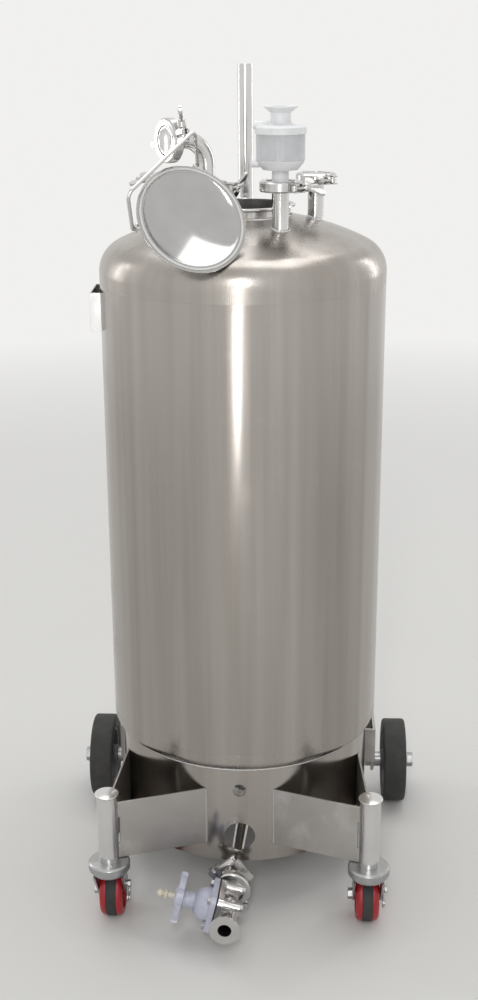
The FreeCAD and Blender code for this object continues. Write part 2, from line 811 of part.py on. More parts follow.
def bail_place():
    # Hinge line of the bail on the lid, with its own x along the hinge and y away from the lid.
    turn = FreeCAD.Placement(Vector(), FreeCAD.Rotation(Z, BAIL_TURN))
    hinge = FreeCAD.Placement(Vector(0, BAIL_HINGE_Y, BAIL_HINGE_Z), FreeCAD.Rotation())
    return lid_place().multiply(turn).multiply(hinge)


def lid():
    flange_r, pipe_r, dish_r = MOUTH_FLANGE_OD / 2, MOUTH_PIPE_OD / 2, DISH_OD / 2
    back_z = -MOUTH_FLANGE_EDGE - (flange_r - pipe_r) * SLOPE
    plate = revolved([
        (dish_r, -DISH_LIP),
        (dish_r + DISH_LIP, 0.0),
        (flange_r, 0.0),
        (flange_r, -MOUTH_FLANGE_EDGE),
        (pipe_r, back_z),
        shallow_arc(pipe_r, back_z, -LID_DISH - SHEET),
        (0.0, -LID_DISH),
    ])
    bowl = shallow_arc(dish_r, -DISH_LIP, -LID_DISH)
    dish = revolved([(0.0, 1.0), (dish_r, 1.0), (dish_r, -DISH_LIP), bowl])
    plate = plate.cut([dish, seal_ring(0.0)])
    lugs = []
    for side in (-1, 1):
        x = side * (BAIL_HALF_WIDTH - BAIL_ROD_D / 2 - LUG_THICKNESS / 2 - 1)
        low = Vector(x - LUG_THICKNESS / 2, BAIL_HINGE_Y - LUG_WIDTH / 2, BAIL_HINGE_Z - BAIL_ROD_D)
        high = Vector(x + LUG_THICKNESS / 2, BAIL_HINGE_Y + LUG_WIDTH / 2, -FLANGE_EDGE)
        lugs.append(turned(box(low, high), Z, BAIL_TURN))
    blank = fused([plate.fuse(lugs).cut(above_face())])
    hole = cylinder(BAIL_ROD_D + 2 * RUNNING_FIT, 4 * BAIL_HALF_WIDTH, Vector(-2 * BAIL_HALF_WIDTH, 0, 0), X)
    return put(blank, lid_place()).cut(put(hole, bail_place()))


def above_face():
    return cylinder(2 * MOUTH_FLANGE_OD, 10)


def lid_seal():
    ring = tube(
        SEAL_D + SEAL_WIDTH - 2 * WELD_GAP,
        SEAL_D - SEAL_WIDTH + 2 * WELD_GAP,
        SEAL_DEPTH + 1.0,
        Vector(0, 0, -SEAL_DEPTH),
    )
    return put(ring, lid_place())


def bail():
    end = BAIL_HALF_WIDTH - BAIL_PIN_LENGTH
    points = [
        Vector(-end, 0, 0),
        Vector(-BAIL_HALF_WIDTH, 0, 0),
        Vector(-BAIL_HALF_WIDTH, BAIL_LENGTH, 0),
        Vector(BAIL_HALF_WIDTH, BAIL_LENGTH, 0),
        Vector(BAIL_HALF_WIDTH, 0, 0),
        Vector(end, 0, 0),
    ]
    wire = rod(points, BAIL_ROD_D, [BAIL_PIN_R, BAIL_CORNER_R, BAIL_CORNER_R, BAIL_PIN_R])
    return put(turned(wire, X, BAIL_SWING), bail_place())


# Front legs and casters. Left pieces are mirrored from the right ones, but for the brakes.

def leg_axis(side, z=0.0):
    return Vector(side * LEG_X, LEG_Y, z)


def leg_tubes():
    height = LEG_TOP_Z - LEG_BOTTOM_Z
    bore = LEG_OD - 2 * LEG_WALL
    return group(*(tube(LEG_OD, bore, height, leg_axis(side, LEG_BOTTOM_Z)) for side in (-1, 1)))


def leg_caps():
    radius = LEG_CAP_OD / 2
    cap = revolved([(0.0, 0.0), (radius, 0.0), (radius, 2.0), shallow_arc(radius, 2.0, 2.0 + LEG_CAP_RISE)])
    return group(*(put(cap, placement(leg_axis(side, LEG_TOP_Z), X, Z)) for side in (-1, 1)))


def upright_plate(start, end, bottom, height, thickness=PLATE):
    along = end - start
    plate = Part.makeBox(along.Length, thickness, height, Vector(0, -thickness / 2, 0))
    return put(plate, placement(Vector(start.x, start.y, bottom), along, Z))


def arm_plates(side):
    # Two plates from the skirt that meet at the leg, each with a slot beside the leg weld.
    leg = Vector(LEG_X, LEG_Y, 0)
    slot_z = ARM_BOTTOM_Z + (ARM_HEIGHT - ARM_SLOT_LENGTH) / 2
    plates = []
    for root in (polar(SKIRT_R, INNER_ARM_ANGLE), polar(SKIRT_R, OUTER_ARM_ANGLE)):
        inward = (root - leg).normalize()
        plate = upright_plate(root + inward * 20, leg, ARM_BOTTOM_Z, ARM_HEIGHT)
        slot_start = leg + inward * (LEG_OD / 2 - 1)
        slot_end = leg + inward * (LEG_OD / 2 + ARM_SLOT_WIDTH)
        slot = upright_plate(slot_start, slot_end, slot_z, ARM_SLOT_LENGTH, 3 * PLATE)
        plate = plate.cut([
            slot,
            cylinder(SKIRT_OD + 2 * WELD_GAP, LEG_TOP_Z),
            cylinder(LEG_OD + 2 * WELD_GAP, LEG_TOP_Z, leg),
        ])
        plates.append(plate)
    pair = group(*plates)
    return pair if side > 0 else mirrored_x(pair)


def caster_cup(side):
    # Fixed upper race: a cup under the leg, with a plug up into the leg tube.
    radius = CUP_OD / 2
    cup = revolved([
        (KINGPIN_D / 2 + RUNNING_FIT, LEG_BOTTOM_Z - PLATE),
        (radius - CUP_WALL, LEG_BOTTOM_Z - PLATE),
        (radius - CUP_WALL, CUP_RIM_Z),
        (radius, CUP_RIM_Z),
        (radius, LEG_BOTTOM_Z - PLATE),
        (radius - PLATE, LEG_BOTTOM_Z),
        (LEG_OD / 2 - LEG_WALL - WELD_GAP, LEG_BOTTOM_Z),
        (LEG_OD / 2 - LEG_WALL - WELD_GAP, LEG_BOTTOM_Z + LEG_OD / 2),
        (KINGPIN_D / 2 + RUNNING_FIT, LEG_BOTTOM_Z + LEG_OD / 2),
    ])
    cup.translate(leg_axis(side))
    return cup


def tangent_point(point, centre, radius, side):
    # Where the line from a point touches a circle, on the given side.
    dx, dy = point[0] - centre[0], point[1] - centre[1]
    bearing = math.atan2(dy, dx) + side * math.acos(radius / math.hypot(dx, dy))
    return (centre[0] + radius * math.cos(bearing), centre[1] + radius * math.sin(bearing))


def fork_plate(x):
    # A side of the fork, in the plane of y and z, that narrows to the axle boss.
    boss = (CASTER_TRAIL, CASTER_AXLE_Z)
    radius = FORK_BOSS_D / 2
    front, back = (-FORK_HALF_DEPTH, CROWN_BOTTOM_Z + 1), (FORK_HALF_DEPTH, CROWN_BOTTOM_Z + 1)
    shape = [front, tangent_point(front, boss, radius, 1), tangent_point(back, boss, radius, -1), back]
    web = extruded(shape, FORK_PLATE, lambda y, z: Vector(x, y, z), X)
    return web.fuse(cylinder(FORK_BOSS_D, FORK_PLATE, Vector(x, boss[0], boss[1]), X))


def fork_x():
    return CASTER_WIDTH / 2 + FORK_GAP


def brake_pivot():
    # Pivot of the brake lever on the outside of the right-hand side of the fork.
    return Vector(fork_x() + FORK_PLATE, CASTER_TRAIL * 0.5, BRAKE_PIVOT_Z)


def caster_fork(side):
    radius = CROWN_OD / 2
    crown = revolved([
        (0.0, CROWN_BOTTOM_Z),
        (radius - 4, CROWN_BOTTOM_Z),
        (radius, CROWN_BOTTOM_Z + 4),
        (radius, LEG_BOTTOM_Z - PLATE - 5),
        (radius - 5, LEG_BOTTOM_Z - PLATE - SEAT_GAP),
        (KINGPIN_D / 2, LEG_BOTTOM_Z - PLATE - SEAT_GAP),
        (KINGPIN_D / 2, LEG_BOTTOM_Z + LEG_OD / 2 - 2),
        (0.0, LEG_BOTTOM_Z + LEG_OD / 2 - 2),
    ])
    fork = fused([crown, fork_plate(fork_x()), fork_plate(-fork_x() - FORK_PLATE)])
    long = 2 * CASTER_WIDTH
    fork = fork.cut(cylinder(CASTER_AXLE_D, long, Vector(-CASTER_WIDTH, CASTER_TRAIL, CASTER_AXLE_Z), X))
    pivot = brake_pivot()
    stud = cylinder(BRAKE_PIVOT_D, BRAKE_STRAP + 3 * SEAT_GAP, pivot - X * SEAT_GAP, X)
    head = hexagon(1.6 * BRAKE_PIVOT_D, BRAKE_HEAD, pivot + X * (BRAKE_STRAP + 2 * SEAT_GAP), X)
    fork = fused([fork, stud, head])
    fork.translate(leg_axis(side))
    return fork


def caster_axle(side):
    length = 2 * (fork_x() + FORK_PLATE)
    base = Vector(-length / 2, CASTER_TRAIL, CASTER_AXLE_Z)
    pin = cylinder(CASTER_AXLE_D - 2 * WELD_GAP, length, base, X)
    nuts = [
        hexagon(NUT_WIDTH, NUT_HEIGHT, base, -X),
        hexagon(NUT_WIDTH, NUT_HEIGHT * 0.6, base + X * length, X),
    ]
    axle = fused([pin] + nuts)
    axle.translate(leg_axis(side))
    return axle


def caster_axle_centre(side):
    return leg_axis(side, CASTER_AXLE_Z) + Y * CASTER_TRAIL


def on_axle(shape, centre):
    # Turns a wheel made about Z so that it runs about X through the given centre.
    return put(shape, placement(centre, Y, X))


def caster_core(side):
    radius, half, tread = CASTER_D / 2, CASTER_WIDTH / 2, TREAD_WIDTH / 2
    bed = radius - TREAD_DEPTH
    hub_r = (CASTER_AXLE_D + 12) / 2
    bore = CASTER_AXLE_D / 2 + RUNNING_FIT
    web = half * 0.45
    profile = [
        (bore, -half - FORK_GAP + SEAT_GAP),
        (hub_r, -half - FORK_GAP + SEAT_GAP),
        (hub_r, -web),
        (bed - 6, -web),
        (bed - 3, -half),
        (radius - 8, -half),
        ((radius - 3.2, -half + 3.2), (radius - 1.2, -tread - WELD_GAP)),
        (bed, -tread - WELD_GAP),
        (bed, tread + WELD_GAP),
        (radius - 1.2, tread + WELD_GAP),
        ((radius - 3.2, half - 3.2), (radius - 8, half)),
        (bed - 3, half),
        (bed - 6, web),
        (hub_r, web),
        (hub_r, half + FORK_GAP - SEAT_GAP),
        (bore, half + FORK_GAP - SEAT_GAP),
    ]
    return on_axle(revolved(profile), caster_axle_centre(side))


def caster_tread(side):
    radius, tread = CASTER_D / 2, TREAD_WIDTH / 2
    bed = radius - TREAD_DEPTH + WELD_GAP
    profile = [
        (bed, -tread),
        (radius - 1, -tread),
        (radius, -tread + 2),
        (radius, tread - 2),
        (radius - 1, tread),
        (bed, tread),
    ]
    return on_axle(revolved(profile), caster_axle_centre(side))


def brake_lever(side):
    # A strap that hangs from its pivot and ends in a round pad turned outward.
    half = BRAKE_WIDTH / 2
    strap = box(Vector(0, -half, -BRAKE_DROP), Vector(BRAKE_STRAP, half, 0))
    eye = cylinder(1.5 * BRAKE_PIVOT_D, BRAKE_STRAP, Vector(), X)
    pad = cylinder(BRAKE_PAD_D, BRAKE_STRAP, Vector(0, 0, -BRAKE_DROP), X)
    rim = cylinder(BRAKE_PAD_D * 0.6, BRAKE_STRAP, Vector(BRAKE_STRAP, 0, -BRAKE_DROP), X)
    lever = fused([strap, eye, pad, rim])
    lever = lever.cut(cylinder(BRAKE_PIVOT_D + 2 * RUNNING_FIT, BRAKE_STRAP, Vector(), X))
    lever.translate(brake_pivot() + X * SEAT_GAP + leg_axis(side))
    return lever


# Rear wheels

def wheel_centre(side):
    return Vector(side * WHEEL_X, WHEEL_Y, AXLE_Z)


def rear_tyre(side):
    radius, half, bed = WHEEL_D / 2, WHEEL_WIDTH / 2, RIM_D / 2 + WELD_GAP
    profile = [
        (bed, -half + 3),
        (bed + 4, -half),
        (radius - 5, -half),
        ((radius - 1.5, -half + 1.5), (radius, -half + 5)),
        (radius, half - 5),
        ((radius - 1.5, half - 1.5), (radius - 5, half)),
        (bed + 4, half),
        (bed, half - 3),
    ]
    return on_axle(revolved(profile), wheel_centre(side))


def rear_hub(side):
    bed, half, hub_r = RIM_D / 2, WHEEL_WIDTH / 2, HUB_D / 2
    bore = AXLE_D / 2 + RUNNING_FIT
    web = half * 0.35
    end = half + HUB_OVERHANG
    profile = [
        (bore, -end),
        (hub_r - 2, -end),
        (hub_r, -web),
        (bed - 5, -web),
        (bed - 4, 3 - half),
        (bed, 3 - half),
        (bed, half - 3),
        (bed - 4, half - 3),
        (bed - 5, web),
        (hub_r, web),
        (hub_r - 2, end),
        (bore, end),
    ]
    return on_axle(revolved(profile), wheel_centre(side))


def wheel_outer_x():
    return WHEEL_X + WHEEL_WIDTH / 2 + HUB_OVERHANG + SEAT_GAP


def rear_axle(side):
    # A stub bolted through the wheel plate, with its hexagon head on the inside.
    head_x = REAR_PLATE_X - REAR_PLATE
    end_x = wheel_outer_x() + WASHER_THICKNESS + AXLE_NUT_HEIGHT - 1
    base = Vector(head_x, WHEEL_Y, AXLE_Z)
    spacer_x = WHEEL_X - WHEEL_WIDTH / 2 - HUB_OVERHANG - SEAT_GAP
    stub = fused([
        cylinder(AXLE_D, end_x - head_x, base, X),
        hexagon(AXLE_NUT_WIDTH, AXLE_NUT_HEIGHT, base, -X),
        cylinder(HUB_D * 0.7, spacer_x - REAR_PLATE_X, Vector(REAR_PLATE_X, WHEEL_Y, AXLE_Z), X),
    ])
    return stub if side > 0 else mirrored_x(stub)


def axle_nuts():
    base = Vector(wheel_outer_x(), WHEEL_Y, AXLE_Z)
    bore = cylinder(AXLE_D + 2 * WELD_GAP, 60, base - X, X)
    washer = cylinder(WASHER_D, WASHER_THICKNESS, base, X).cut(bore)
    nut_base = base + X * WASHER_THICKNESS
    nut = hexagon(AXLE_NUT_WIDTH, AXLE_NUT_HEIGHT, nut_base, X)
    dome = Part.makeSphere(AXLE_NUT_WIDTH * 0.62, nut_base + X * (AXLE_NUT_HEIGHT * 0.35), X)
    nut = nut.common(dome).cut(bore)
    return group(washer, nut, mirrored_x(washer), mirrored_x(nut))


def rear_arm(side):
    # A wheel plate carried on two webs from the skirt, open at the top.
    height = REAR_PLATE_TOP_Z - REAR_PLATE_BOTTOM_Z
    outer = REAR_PLATE_X - REAR_PLATE
    low_r = REAR_BOSS_D / 2
    front, back = WHEEL_Y - REAR_ARM_FRONT, WHEEL_Y + REAR_ARM_BACK
    foot_front = (front, REAR_PLATE_BOTTOM_Z)
    foot_back = (back, REAR_PLATE_BOTTOM_Z)
    centre = (WHEEL_Y, AXLE_Z)
    shape = [
        (front, REAR_PLATE_TOP_Z),
        foot_front,
        tangent_point(foot_front, centre, low_r, 1),
        tangent_point(foot_back, centre, low_r, -1),
        foot_back,
        (back, REAR_PLATE_TOP_Z),
    ]
    plate = extruded(shape, REAR_PLATE, lambda y, z: Vector(outer, y, z), X)
    plate = plate.fuse(cylinder(REAR_BOSS_D, REAR_PLATE, Vector(outer, WHEEL_Y, AXLE_Z), X)).removeSplitter()
    plate = plate.cut(cylinder(AXLE_D + 2 * WELD_GAP, REAR_PLATE_X, Vector(0, WHEEL_Y, AXLE_Z), X))
    webs = []
    for y in (front + PLATE / 2, back - PLATE / 2):
        root = Vector(math.sqrt(SKIRT_R ** 2 - y ** 2) - 12, y, 0)
        web = upright_plate(root, Vector(outer, y, 0), REAR_PLATE_BOTTOM_Z, height)
        webs.append(web.cut(cylinder(SKIRT_OD + 2 * WELD_GAP, LEG_TOP_Z)))
    arm = group(plate, *webs)
    return arm if side > 0 else mirrored_x(arm)


# Outlet. In its own frame the flow runs along +X from the tank axis, at the level of the pipe.

def outlet_place():
    return placement(Vector(0, 0, OUTLET_Z), turned_vector(-Y, OUTLET_TURN), Z)


def turned_vector(vector, degrees):
    return FreeCAD.Rotation(Z, degrees).multVec(vector)


def outlet_pipe():
    stub = pipe(OUTLET_STUB + SHEET, Vector(0, 0, BEND_RADIUS), Z)
    bend = turned(pipe_bend(), X, 180)
    bend.translate(Vector(0, 0, BEND_RADIUS))
    end = put(pipe_ferrule(INLET_FACE_Y - BEND_RADIUS), placement(Vector(INLET_FACE_Y, 0, 0), Y, X))
    return put(fused([stub, bend, end]), outlet_place())


# Valve, in its own frame: the inlet face is at x = 0, the flow runs along +X and the bonnet rises along +Z.

def valve_place():
    inlet = outlet_place().multVec(Vector(INLET_FACE_Y + GASKET, 0, 0))
    flow = turned_vector(-Y, OUTLET_TURN)
    sideways = Z.cross(flow)
    tilt = math.radians(VALVE_TILT)
    return placement(inlet, flow, -sideways * math.cos(tilt) + Z * math.sin(tilt))


def bonnet_bolt_spots():
    half = BONNET_BOLT_PITCH / 2
    return [Vector(VALVE_LENGTH / 2 + dx, dy, 0) for dx in (-half, half) for dy in (-half, half)]


def bonnet_bolt_holes():
    return [cylinder(BONNET_BOLT_D + 2 * WELD_GAP, 100, spot - Z * 50) for spot in bonnet_bolt_spots()]


def on_stem(shape, z):
    moved = shape.copy()
    moved.translate(Vector(VALVE_LENGTH / 2, 0, z))
    return moved


def square_plate(thickness, z, holes=True):
    plate = on_stem(rounded_square(BONNET_FLANGE, BONNET_FLANGE_R, thickness), z)
    if holes:
        plate = plate.cut(bonnet_bolt_holes())
    return plate


def valve_body():
    end = ferrule(VALVE_PIPE_OD, (VALVE_PIPE_OD - VALVE_BORE) / 2, FLANGE_OD, FLANGE_EDGE, VALVE_LENGTH / 2)
    ends = [
        put(end, placement(Vector(), Y, -X)),
        put(end, placement(Vector(VALVE_LENGTH, 0, 0), Y, X)),
    ]
    half = BONNET_FLANGE / 2 - BOSS_D / 2
    saddle = box(Vector(-half, -VALVE_PIPE_OD / 2, 0), Vector(half, VALVE_PIPE_OD / 2, FLANGE_BASE + 1))
    bulge = on_stem(Part.makeSphere(VALVE_PIPE_OD * 0.7), 0)
    boss_height = FLANGE_BASE - BOSS_END + 1
    bosses = [cylinder(BOSS_D, boss_height, spot + Z * BOSS_END) for spot in bonnet_bolt_spots()]
    plate = square_plate(FLANGE_THICKNESS, FLANGE_BASE, False)
    body = fused(ends + [on_stem(saddle, 0), bulge, plate] + bosses)
    bore = cylinder(VALVE_BORE, VALVE_LENGTH, Vector(), X)
    return put(body.cut(bonnet_bolt_holes() + [bore]), valve_place())


def valve_diaphragm():
    return put(square_plate(DIAPHRAGM, DIAPHRAGM_BASE), valve_place())


def valve_bonnet():
    dome_r, neck_r = BONNET_DOME_D / 2, BONNET_NECK_D / 2
    start = FLANGE_THICKNESS * 0.9
    dome_top = start + BONNET_DOME_HEIGHT
    top = BONNET_NECK_END - BONNET_BASE
    shoulder = (dome_r * 0.9, start + BONNET_DOME_HEIGHT * 0.62)
    dome = revolved([
        (0.0, 0.5),
        (dome_r, 0.5),
        (dome_r, start),
        (shoulder, (neck_r + 1, dome_top)),
        (neck_r, dome_top + 3),
        (neck_r, top - 3),
        (neck_r + 3, top - 2),
        (neck_r + 3, top),
        (0.0, top),
    ])
    bonnet = fused([square_plate(FLANGE_THICKNESS, BONNET_BASE), on_stem(dome, BONNET_BASE)])
    bonnet = bonnet.cut(bonnet_bolt_holes())
    return put(bonnet.cut(on_stem(cylinder(SPINDLE_D + 2 * RUNNING_FIT, 100), BONNET_BASE)), valve_place())


def bonnet_bolts():
    low = BOSS_END
    high = BONNET_BASE + FLANGE_THICKNESS
    bolts = []
    for spot in bonnet_bolt_spots():
        shank = cylinder(BONNET_BOLT_D, high - low, spot + Z * low)
        head = hexagon(1.6 * BONNET_BOLT_D, 5.0, spot + Z * high, Z)
        nut = hexagon(1.6 * BONNET_BOLT_D, 5.0, spot + Z * low, -Z)
        bolts.append(put(fused([shank, head, nut]), valve_place()))
    return group(*bolts)


def handwheel():
    thick, radius = HANDWHEEL_THICKNESS, HANDWHEEL_D / 2
    disc = revolved([
        (0.0, 0.0),
        (HANDWHEEL_HUB_D / 2, 0.0),
        (HANDWHEEL_HUB_D / 2, 1.0),
        (radius - 3, 1.0),
        ((radius - 0.9, 1.9), (radius, 4.0)),
        (radius, thick - 4),
        ((radius - 0.9, thick - 1.9), (radius - 3, thick - 1)),
        (HANDWHEEL_HUB_D / 2 + 4, thick - 1),
        (HANDWHEEL_HUB_D / 2, thick + 2),
        (0.0, thick + 2),
    ])
    scallops = []
    for lobe in range(HANDWHEEL_LOBES):
        angle = 360.0 * (lobe + 0.5) / HANDWHEEL_LOBES
        spot = polar(radius + HANDWHEEL_SCALLOP_D * 0.12, angle, -1)
        scallops.append(cylinder(HANDWHEEL_SCALLOP_D, thick + 2, spot))
    wheel = disc.cut(scallops).cut(cylinder(SPINDLE_D + 2 * RUNNING_FIT, 100, -Z * 10))
    return put(on_stem(wheel, HANDWHEEL_START), valve_place())


def spindle():
    shaft_r, collar_r, ball_r = SPINDLE_D / 2, SPINDLE_COLLAR_D / 2, SPINDLE_BALL_D / 2
    ball_centre = SPINDLE_END - ball_r
    join = math.sqrt(ball_r ** 2 - (shaft_r * 0.7) ** 2)
    shaft = revolved([
        (0.0, SPINDLE_START),
        (shaft_r, SPINDLE_START),
        (shaft_r, SPINDLE_COLLAR - 2),
        (collar_r - 1, SPINDLE_COLLAR - 1),
        (collar_r, SPINDLE_COLLAR + 1),
        (collar_r - 1, SPINDLE_COLLAR + 3),
        (shaft_r * 0.7, SPINDLE_COLLAR + 4),
        (shaft_r * 0.7, ball_centre - join),
        ((ball_r, ball_centre), (0.0, SPINDLE_END)),
    ])
    return put(on_stem(shaft, 0), valve_place())


def clamp_places():
    places = {}
    for name, angle in PORT_CLAMP_ANGLE.items():
        axis = PORT_CLAMP_AXIS[name]
        face = port_centre(PORT_ANGLE[name], PORT_FACE_Z + GASKET / 2)
        places[name] = placement(face, polar(1, angle), axis)
    outlet, outward = elbow_outlet()
    side = FreeCAD.Rotation(outward, -ELBOW_CLAMP_ANGLE).multVec(Z.cross(outward))
    places["elbow"] = placement(outlet + outward * (GASKET / 2), side, -outward)
    inlet = outlet_place().multVec(Vector(INLET_FACE_Y + GASKET / 2, 0, 0))
    flow = turned_vector(-Y, OUTLET_TURN)
    side = FreeCAD.Rotation(flow, VALVE_CLAMP_ANGLE).multVec(Z)
    places["valve"] = placement(inlet, side, flow)
    return places


def gaskets():
    rings = [put(gasket(), port_place(name)) for name in PORT_ANGLE]
    outlet, outward = elbow_outlet()
    rings.append(put(gasket(), placement(outlet, Z, outward)))
    flow = turned_vector(-Y, OUTLET_TURN)
    rings.append(put(gasket(), placement(outlet_place().multVec(Vector(INLET_FACE_Y, 0, 0)), Z, flow)))
    return group(*rings)


def port_caps():
    lift = FreeCAD.Placement(Vector(0, 0, GASKET), FreeCAD.Rotation())
    return group(*(put(end_cap(), place.multiply(lift)) for place in capped_joints()))


def build():
    nodes = {
        "shell": shell(),
        "top_head": top_head(),
        "bottom_cone": bottom_cone(),
        "skirt": skirt(),
        "mouth_ferrule": mouth_ferrule(),
        "port_tubes": port_tubes(),
        "riser_tube": riser_tube(),
        "riser_collar": riser_collar(),
        "plate_bracket": plate_bracket(),
        "gaskets": gaskets(),
        "port_caps": port_caps(),
        "elbow": elbow(),
        "filter_body": filter_body(),
        "filter_cap": filter_cap(),
        "lid": lid(),
        "lid_seal": lid_seal(),
        "bail": bail(),
        "leg_tubes": leg_tubes(),
        "leg_caps": leg_caps(),
        "caster_cups": group(*map(caster_cup, SIDES.values())),
        "rear_arms": group(*map(rear_arm, SIDES.values())),
        "rear_axles": group(*map(rear_axle, SIDES.values())),
        "axle_nuts": axle_nuts(),
        "clamp_jaws": group(*(put(clamp_jaws(), place) for place in clamp_places().values())),
        "outlet_pipe": outlet_pipe(),
        "valve_body": valve_body(),
        "valve_diaphragm": valve_diaphragm(),
        "valve_bonnet": valve_bonnet(),
        "bonnet_bolts": bonnet_bolts(),
        "handwheel": handwheel(),
        "spindle": spindle(),
    }
    for name, side in SIDES.items():
        nodes[name + "_arm"] = arm_plates(side)
        nodes[name + "_caster_fork"] = caster_fork(side)
        nodes[name + "_caster_axle"] = caster_axle(side)
        nodes[name + "_caster_core"] = caster_core(side)
        nodes[name + "_caster_tread"] = caster_tread(side)
        nodes[name + "_brake_lever"] = brake_lever(side)
        nodes[name + "_rear_hub"] = rear_hub(side)
        nodes[name + "_rear_tyre"] = rear_tyre(side)
    for name, place in clamp_places().items():
        nut = lever_nut(NUT_TURN[name]) if name == "valve" else wing_nut(NUT_TURN[name])
        nodes[name + "_clamp_bolt"] = put(swing_bolt(), place)
        nodes[name + "_clamp_nut"] = put(nut, place)
    return nodes


def main():
    os.makedirs("parts", exist_ok=True)
    for name, shape in build().items():
        shape.exportStep("parts/" + name + ".step")
        print(name, len(shape.Solids), "solids")


main()
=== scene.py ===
import bpy
import bmesh
import json
import math
import numpy as np
from mathutils import Matrix, Vector


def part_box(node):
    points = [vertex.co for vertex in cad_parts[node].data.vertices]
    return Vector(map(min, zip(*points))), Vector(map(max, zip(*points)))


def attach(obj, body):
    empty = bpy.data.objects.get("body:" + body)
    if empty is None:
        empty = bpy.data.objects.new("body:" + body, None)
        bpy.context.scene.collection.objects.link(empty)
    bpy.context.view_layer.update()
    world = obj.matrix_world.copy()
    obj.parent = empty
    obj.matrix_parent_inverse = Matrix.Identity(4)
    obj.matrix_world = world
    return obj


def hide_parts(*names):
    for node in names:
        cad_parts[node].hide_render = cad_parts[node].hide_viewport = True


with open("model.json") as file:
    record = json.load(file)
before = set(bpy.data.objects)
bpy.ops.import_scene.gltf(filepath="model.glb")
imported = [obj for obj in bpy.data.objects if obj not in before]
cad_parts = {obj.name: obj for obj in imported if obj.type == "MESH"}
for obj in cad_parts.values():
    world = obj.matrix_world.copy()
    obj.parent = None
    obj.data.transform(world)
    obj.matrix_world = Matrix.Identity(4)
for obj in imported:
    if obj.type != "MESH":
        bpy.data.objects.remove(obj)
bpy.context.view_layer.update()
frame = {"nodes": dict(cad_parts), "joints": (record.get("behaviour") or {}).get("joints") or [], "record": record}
nodes = frame["nodes"]
bodyOf = {node: body for body, members in frame["record"]["behaviour"]["bodies"].items() for node in members}
slotOf = {row["node"]: row["material_slot"] for row in frame["record"]["subparts"]}
mm = 0.001

# Shader building


class Value:  # wraps a number socket, so that sums on sockets read as sums
    def __init__(self, tree, socket):
        self.tree = tree
        self.socket = socket

    def combine(self, operation, other):
        node = self.tree.nodes.new("ShaderNodeMath")
        node.operation = operation
        for slot, item in zip(node.inputs, (self, other)):
            if isinstance(item, Value):
                self.tree.links.new(item.socket, slot)
            else:
                slot.default_value = item
        return Value(self.tree, node.outputs[0])

    def __add__(self, other):
        return self.combine("ADD", other)

    __radd__ = __add__

    def __mul__(self, other):
        return self.combine("MULTIPLY", other)


class Graph:  # a node tree, and the one way that nodes are added to it
    def __init__(self, tree):
        self.tree = tree

    def node(self, kind, settings=None, **inputs):
        made = self.tree.nodes.new(kind)
        for key, value in (settings or {}).items():
            setattr(made, key, value)
        for key, value in inputs.items():
            self.feed(made.inputs[key.replace("_", " ")], value)
        return made

    def feed(self, socket, value):
        if isinstance(value, Value):
            self.tree.links.new(value.socket, socket)
        elif isinstance(value, bpy.types.NodeSocket):
            self.tree.links.new(value, socket)
        else:
            socket.default_value = value


class Finish(Graph):  # one material
    def __init__(self, name, **constants):
        self.material = bpy.data.materials.new(name)
        self.material.use_nodes = True
        super().__init__(self.material.node_tree)
        self.shader = self.tree.nodes["Principled BSDF"]
        for socket, value in constants.items():
            self.shader.inputs[socket.replace("_", " ")].default_value = value

    def position(self, stretch=(1, 1, 1)):  # object coordinates in metres
        place = self.node("ShaderNodeTexCoord").outputs["Object"]
        return self.node("ShaderNodeMapping", Vector=place, Scale=stretch).outputs[0]

    def noise(self, stretch, detail=3.0, roughness=0.5):  # stretch is in waves to the metre on each axis
        made = self.node("ShaderNodeTexNoise", Vector=self.position(stretch), Scale=1.0, Detail=detail,
                         Roughness=roughness)
        return Value(self.tree, made.outputs[0])

    def mask(self, value, low, high):  # 0 below low, 1 above high
        made = self.node("ShaderNodeMapRange", {"clamp": True}, Value=value)
        made.inputs["From Min"].default_value = low
        made.inputs["From Max"].default_value = high
        return Value(self.tree, made.outputs[0])

    def blend(self, factor, first, second):
        made = self.node("ShaderNodeMix", {"data_type": "RGBA"})
        self.feed(made.inputs["Factor"], factor)
        self.feed(made.inputs[6], first)
        self.feed(made.inputs[7], second)
        return made.outputs[2]

    def bump(self, height, distance, strength=1.0, after=None):
        made = self.node("ShaderNodeBump", Height=height, Distance=distance, Strength=strength)
        if after is not None:
            self.feed(made.inputs["Normal"], after)
        return made.outputs[0]

    def set(self, socket, value):
        self.feed(self.shader.inputs[socket], value)


def grey(shade, warmth=0.0):
    return (shade * (1 + warmth), shade, shade * (1 - warmth), 1)


# Finishes. Bump heights are metres of the object itself


def tankSteel(name, streaks, waviness, dullness=0.10):  # rolled sheet, polished upright, faintly scuffed
    finish = Finish(name, Metallic=1.0)
    grain = finish.noise((150, 150, 1.6), detail=4)
    grainAndHighlightStreaks = finish.noise((26, 26, 0.7), detail=3)
    cloud = finish.noise((3.2, 3.2, 2.1), detail=3)
    smudge = finish.mask(finish.noise((9, 9, 13), detail=5, roughness=0.62), 0.56, 0.74)
    scratch = finish.mask(finish.noise((420, 420, 26), detail=3, roughness=0.7), 0.66, 0.74)
    # The dark, warm tone is a painted reflection: the steel is darkened and warmed to stand for a dark brown room
    # mirrored in it. The lighter upright streaks are partly drawn grain and partly painted highlight streaks.
    tone = finish.blend(cloud, grey(0.27, 0.10), grey(0.37, 0.08))
    tone = finish.blend(finish.mask(grainAndHighlightStreaks, 0.35, 0.75), tone, grey(0.42, 0.06))
    finish.set("Base Color", finish.blend(scratch * smudge * 0.6, tone, grey(0.78)))
    finish.set("Roughness", dullness + grain * streaks + smudge * 0.12 + cloud * 0.05)
    wave = finish.bump(finish.noise((9, 9, 1.6), detail=2), waviness)
    finish.set("Normal", finish.bump(grain, 0.00003, 0.5, wave))
    return finish.material


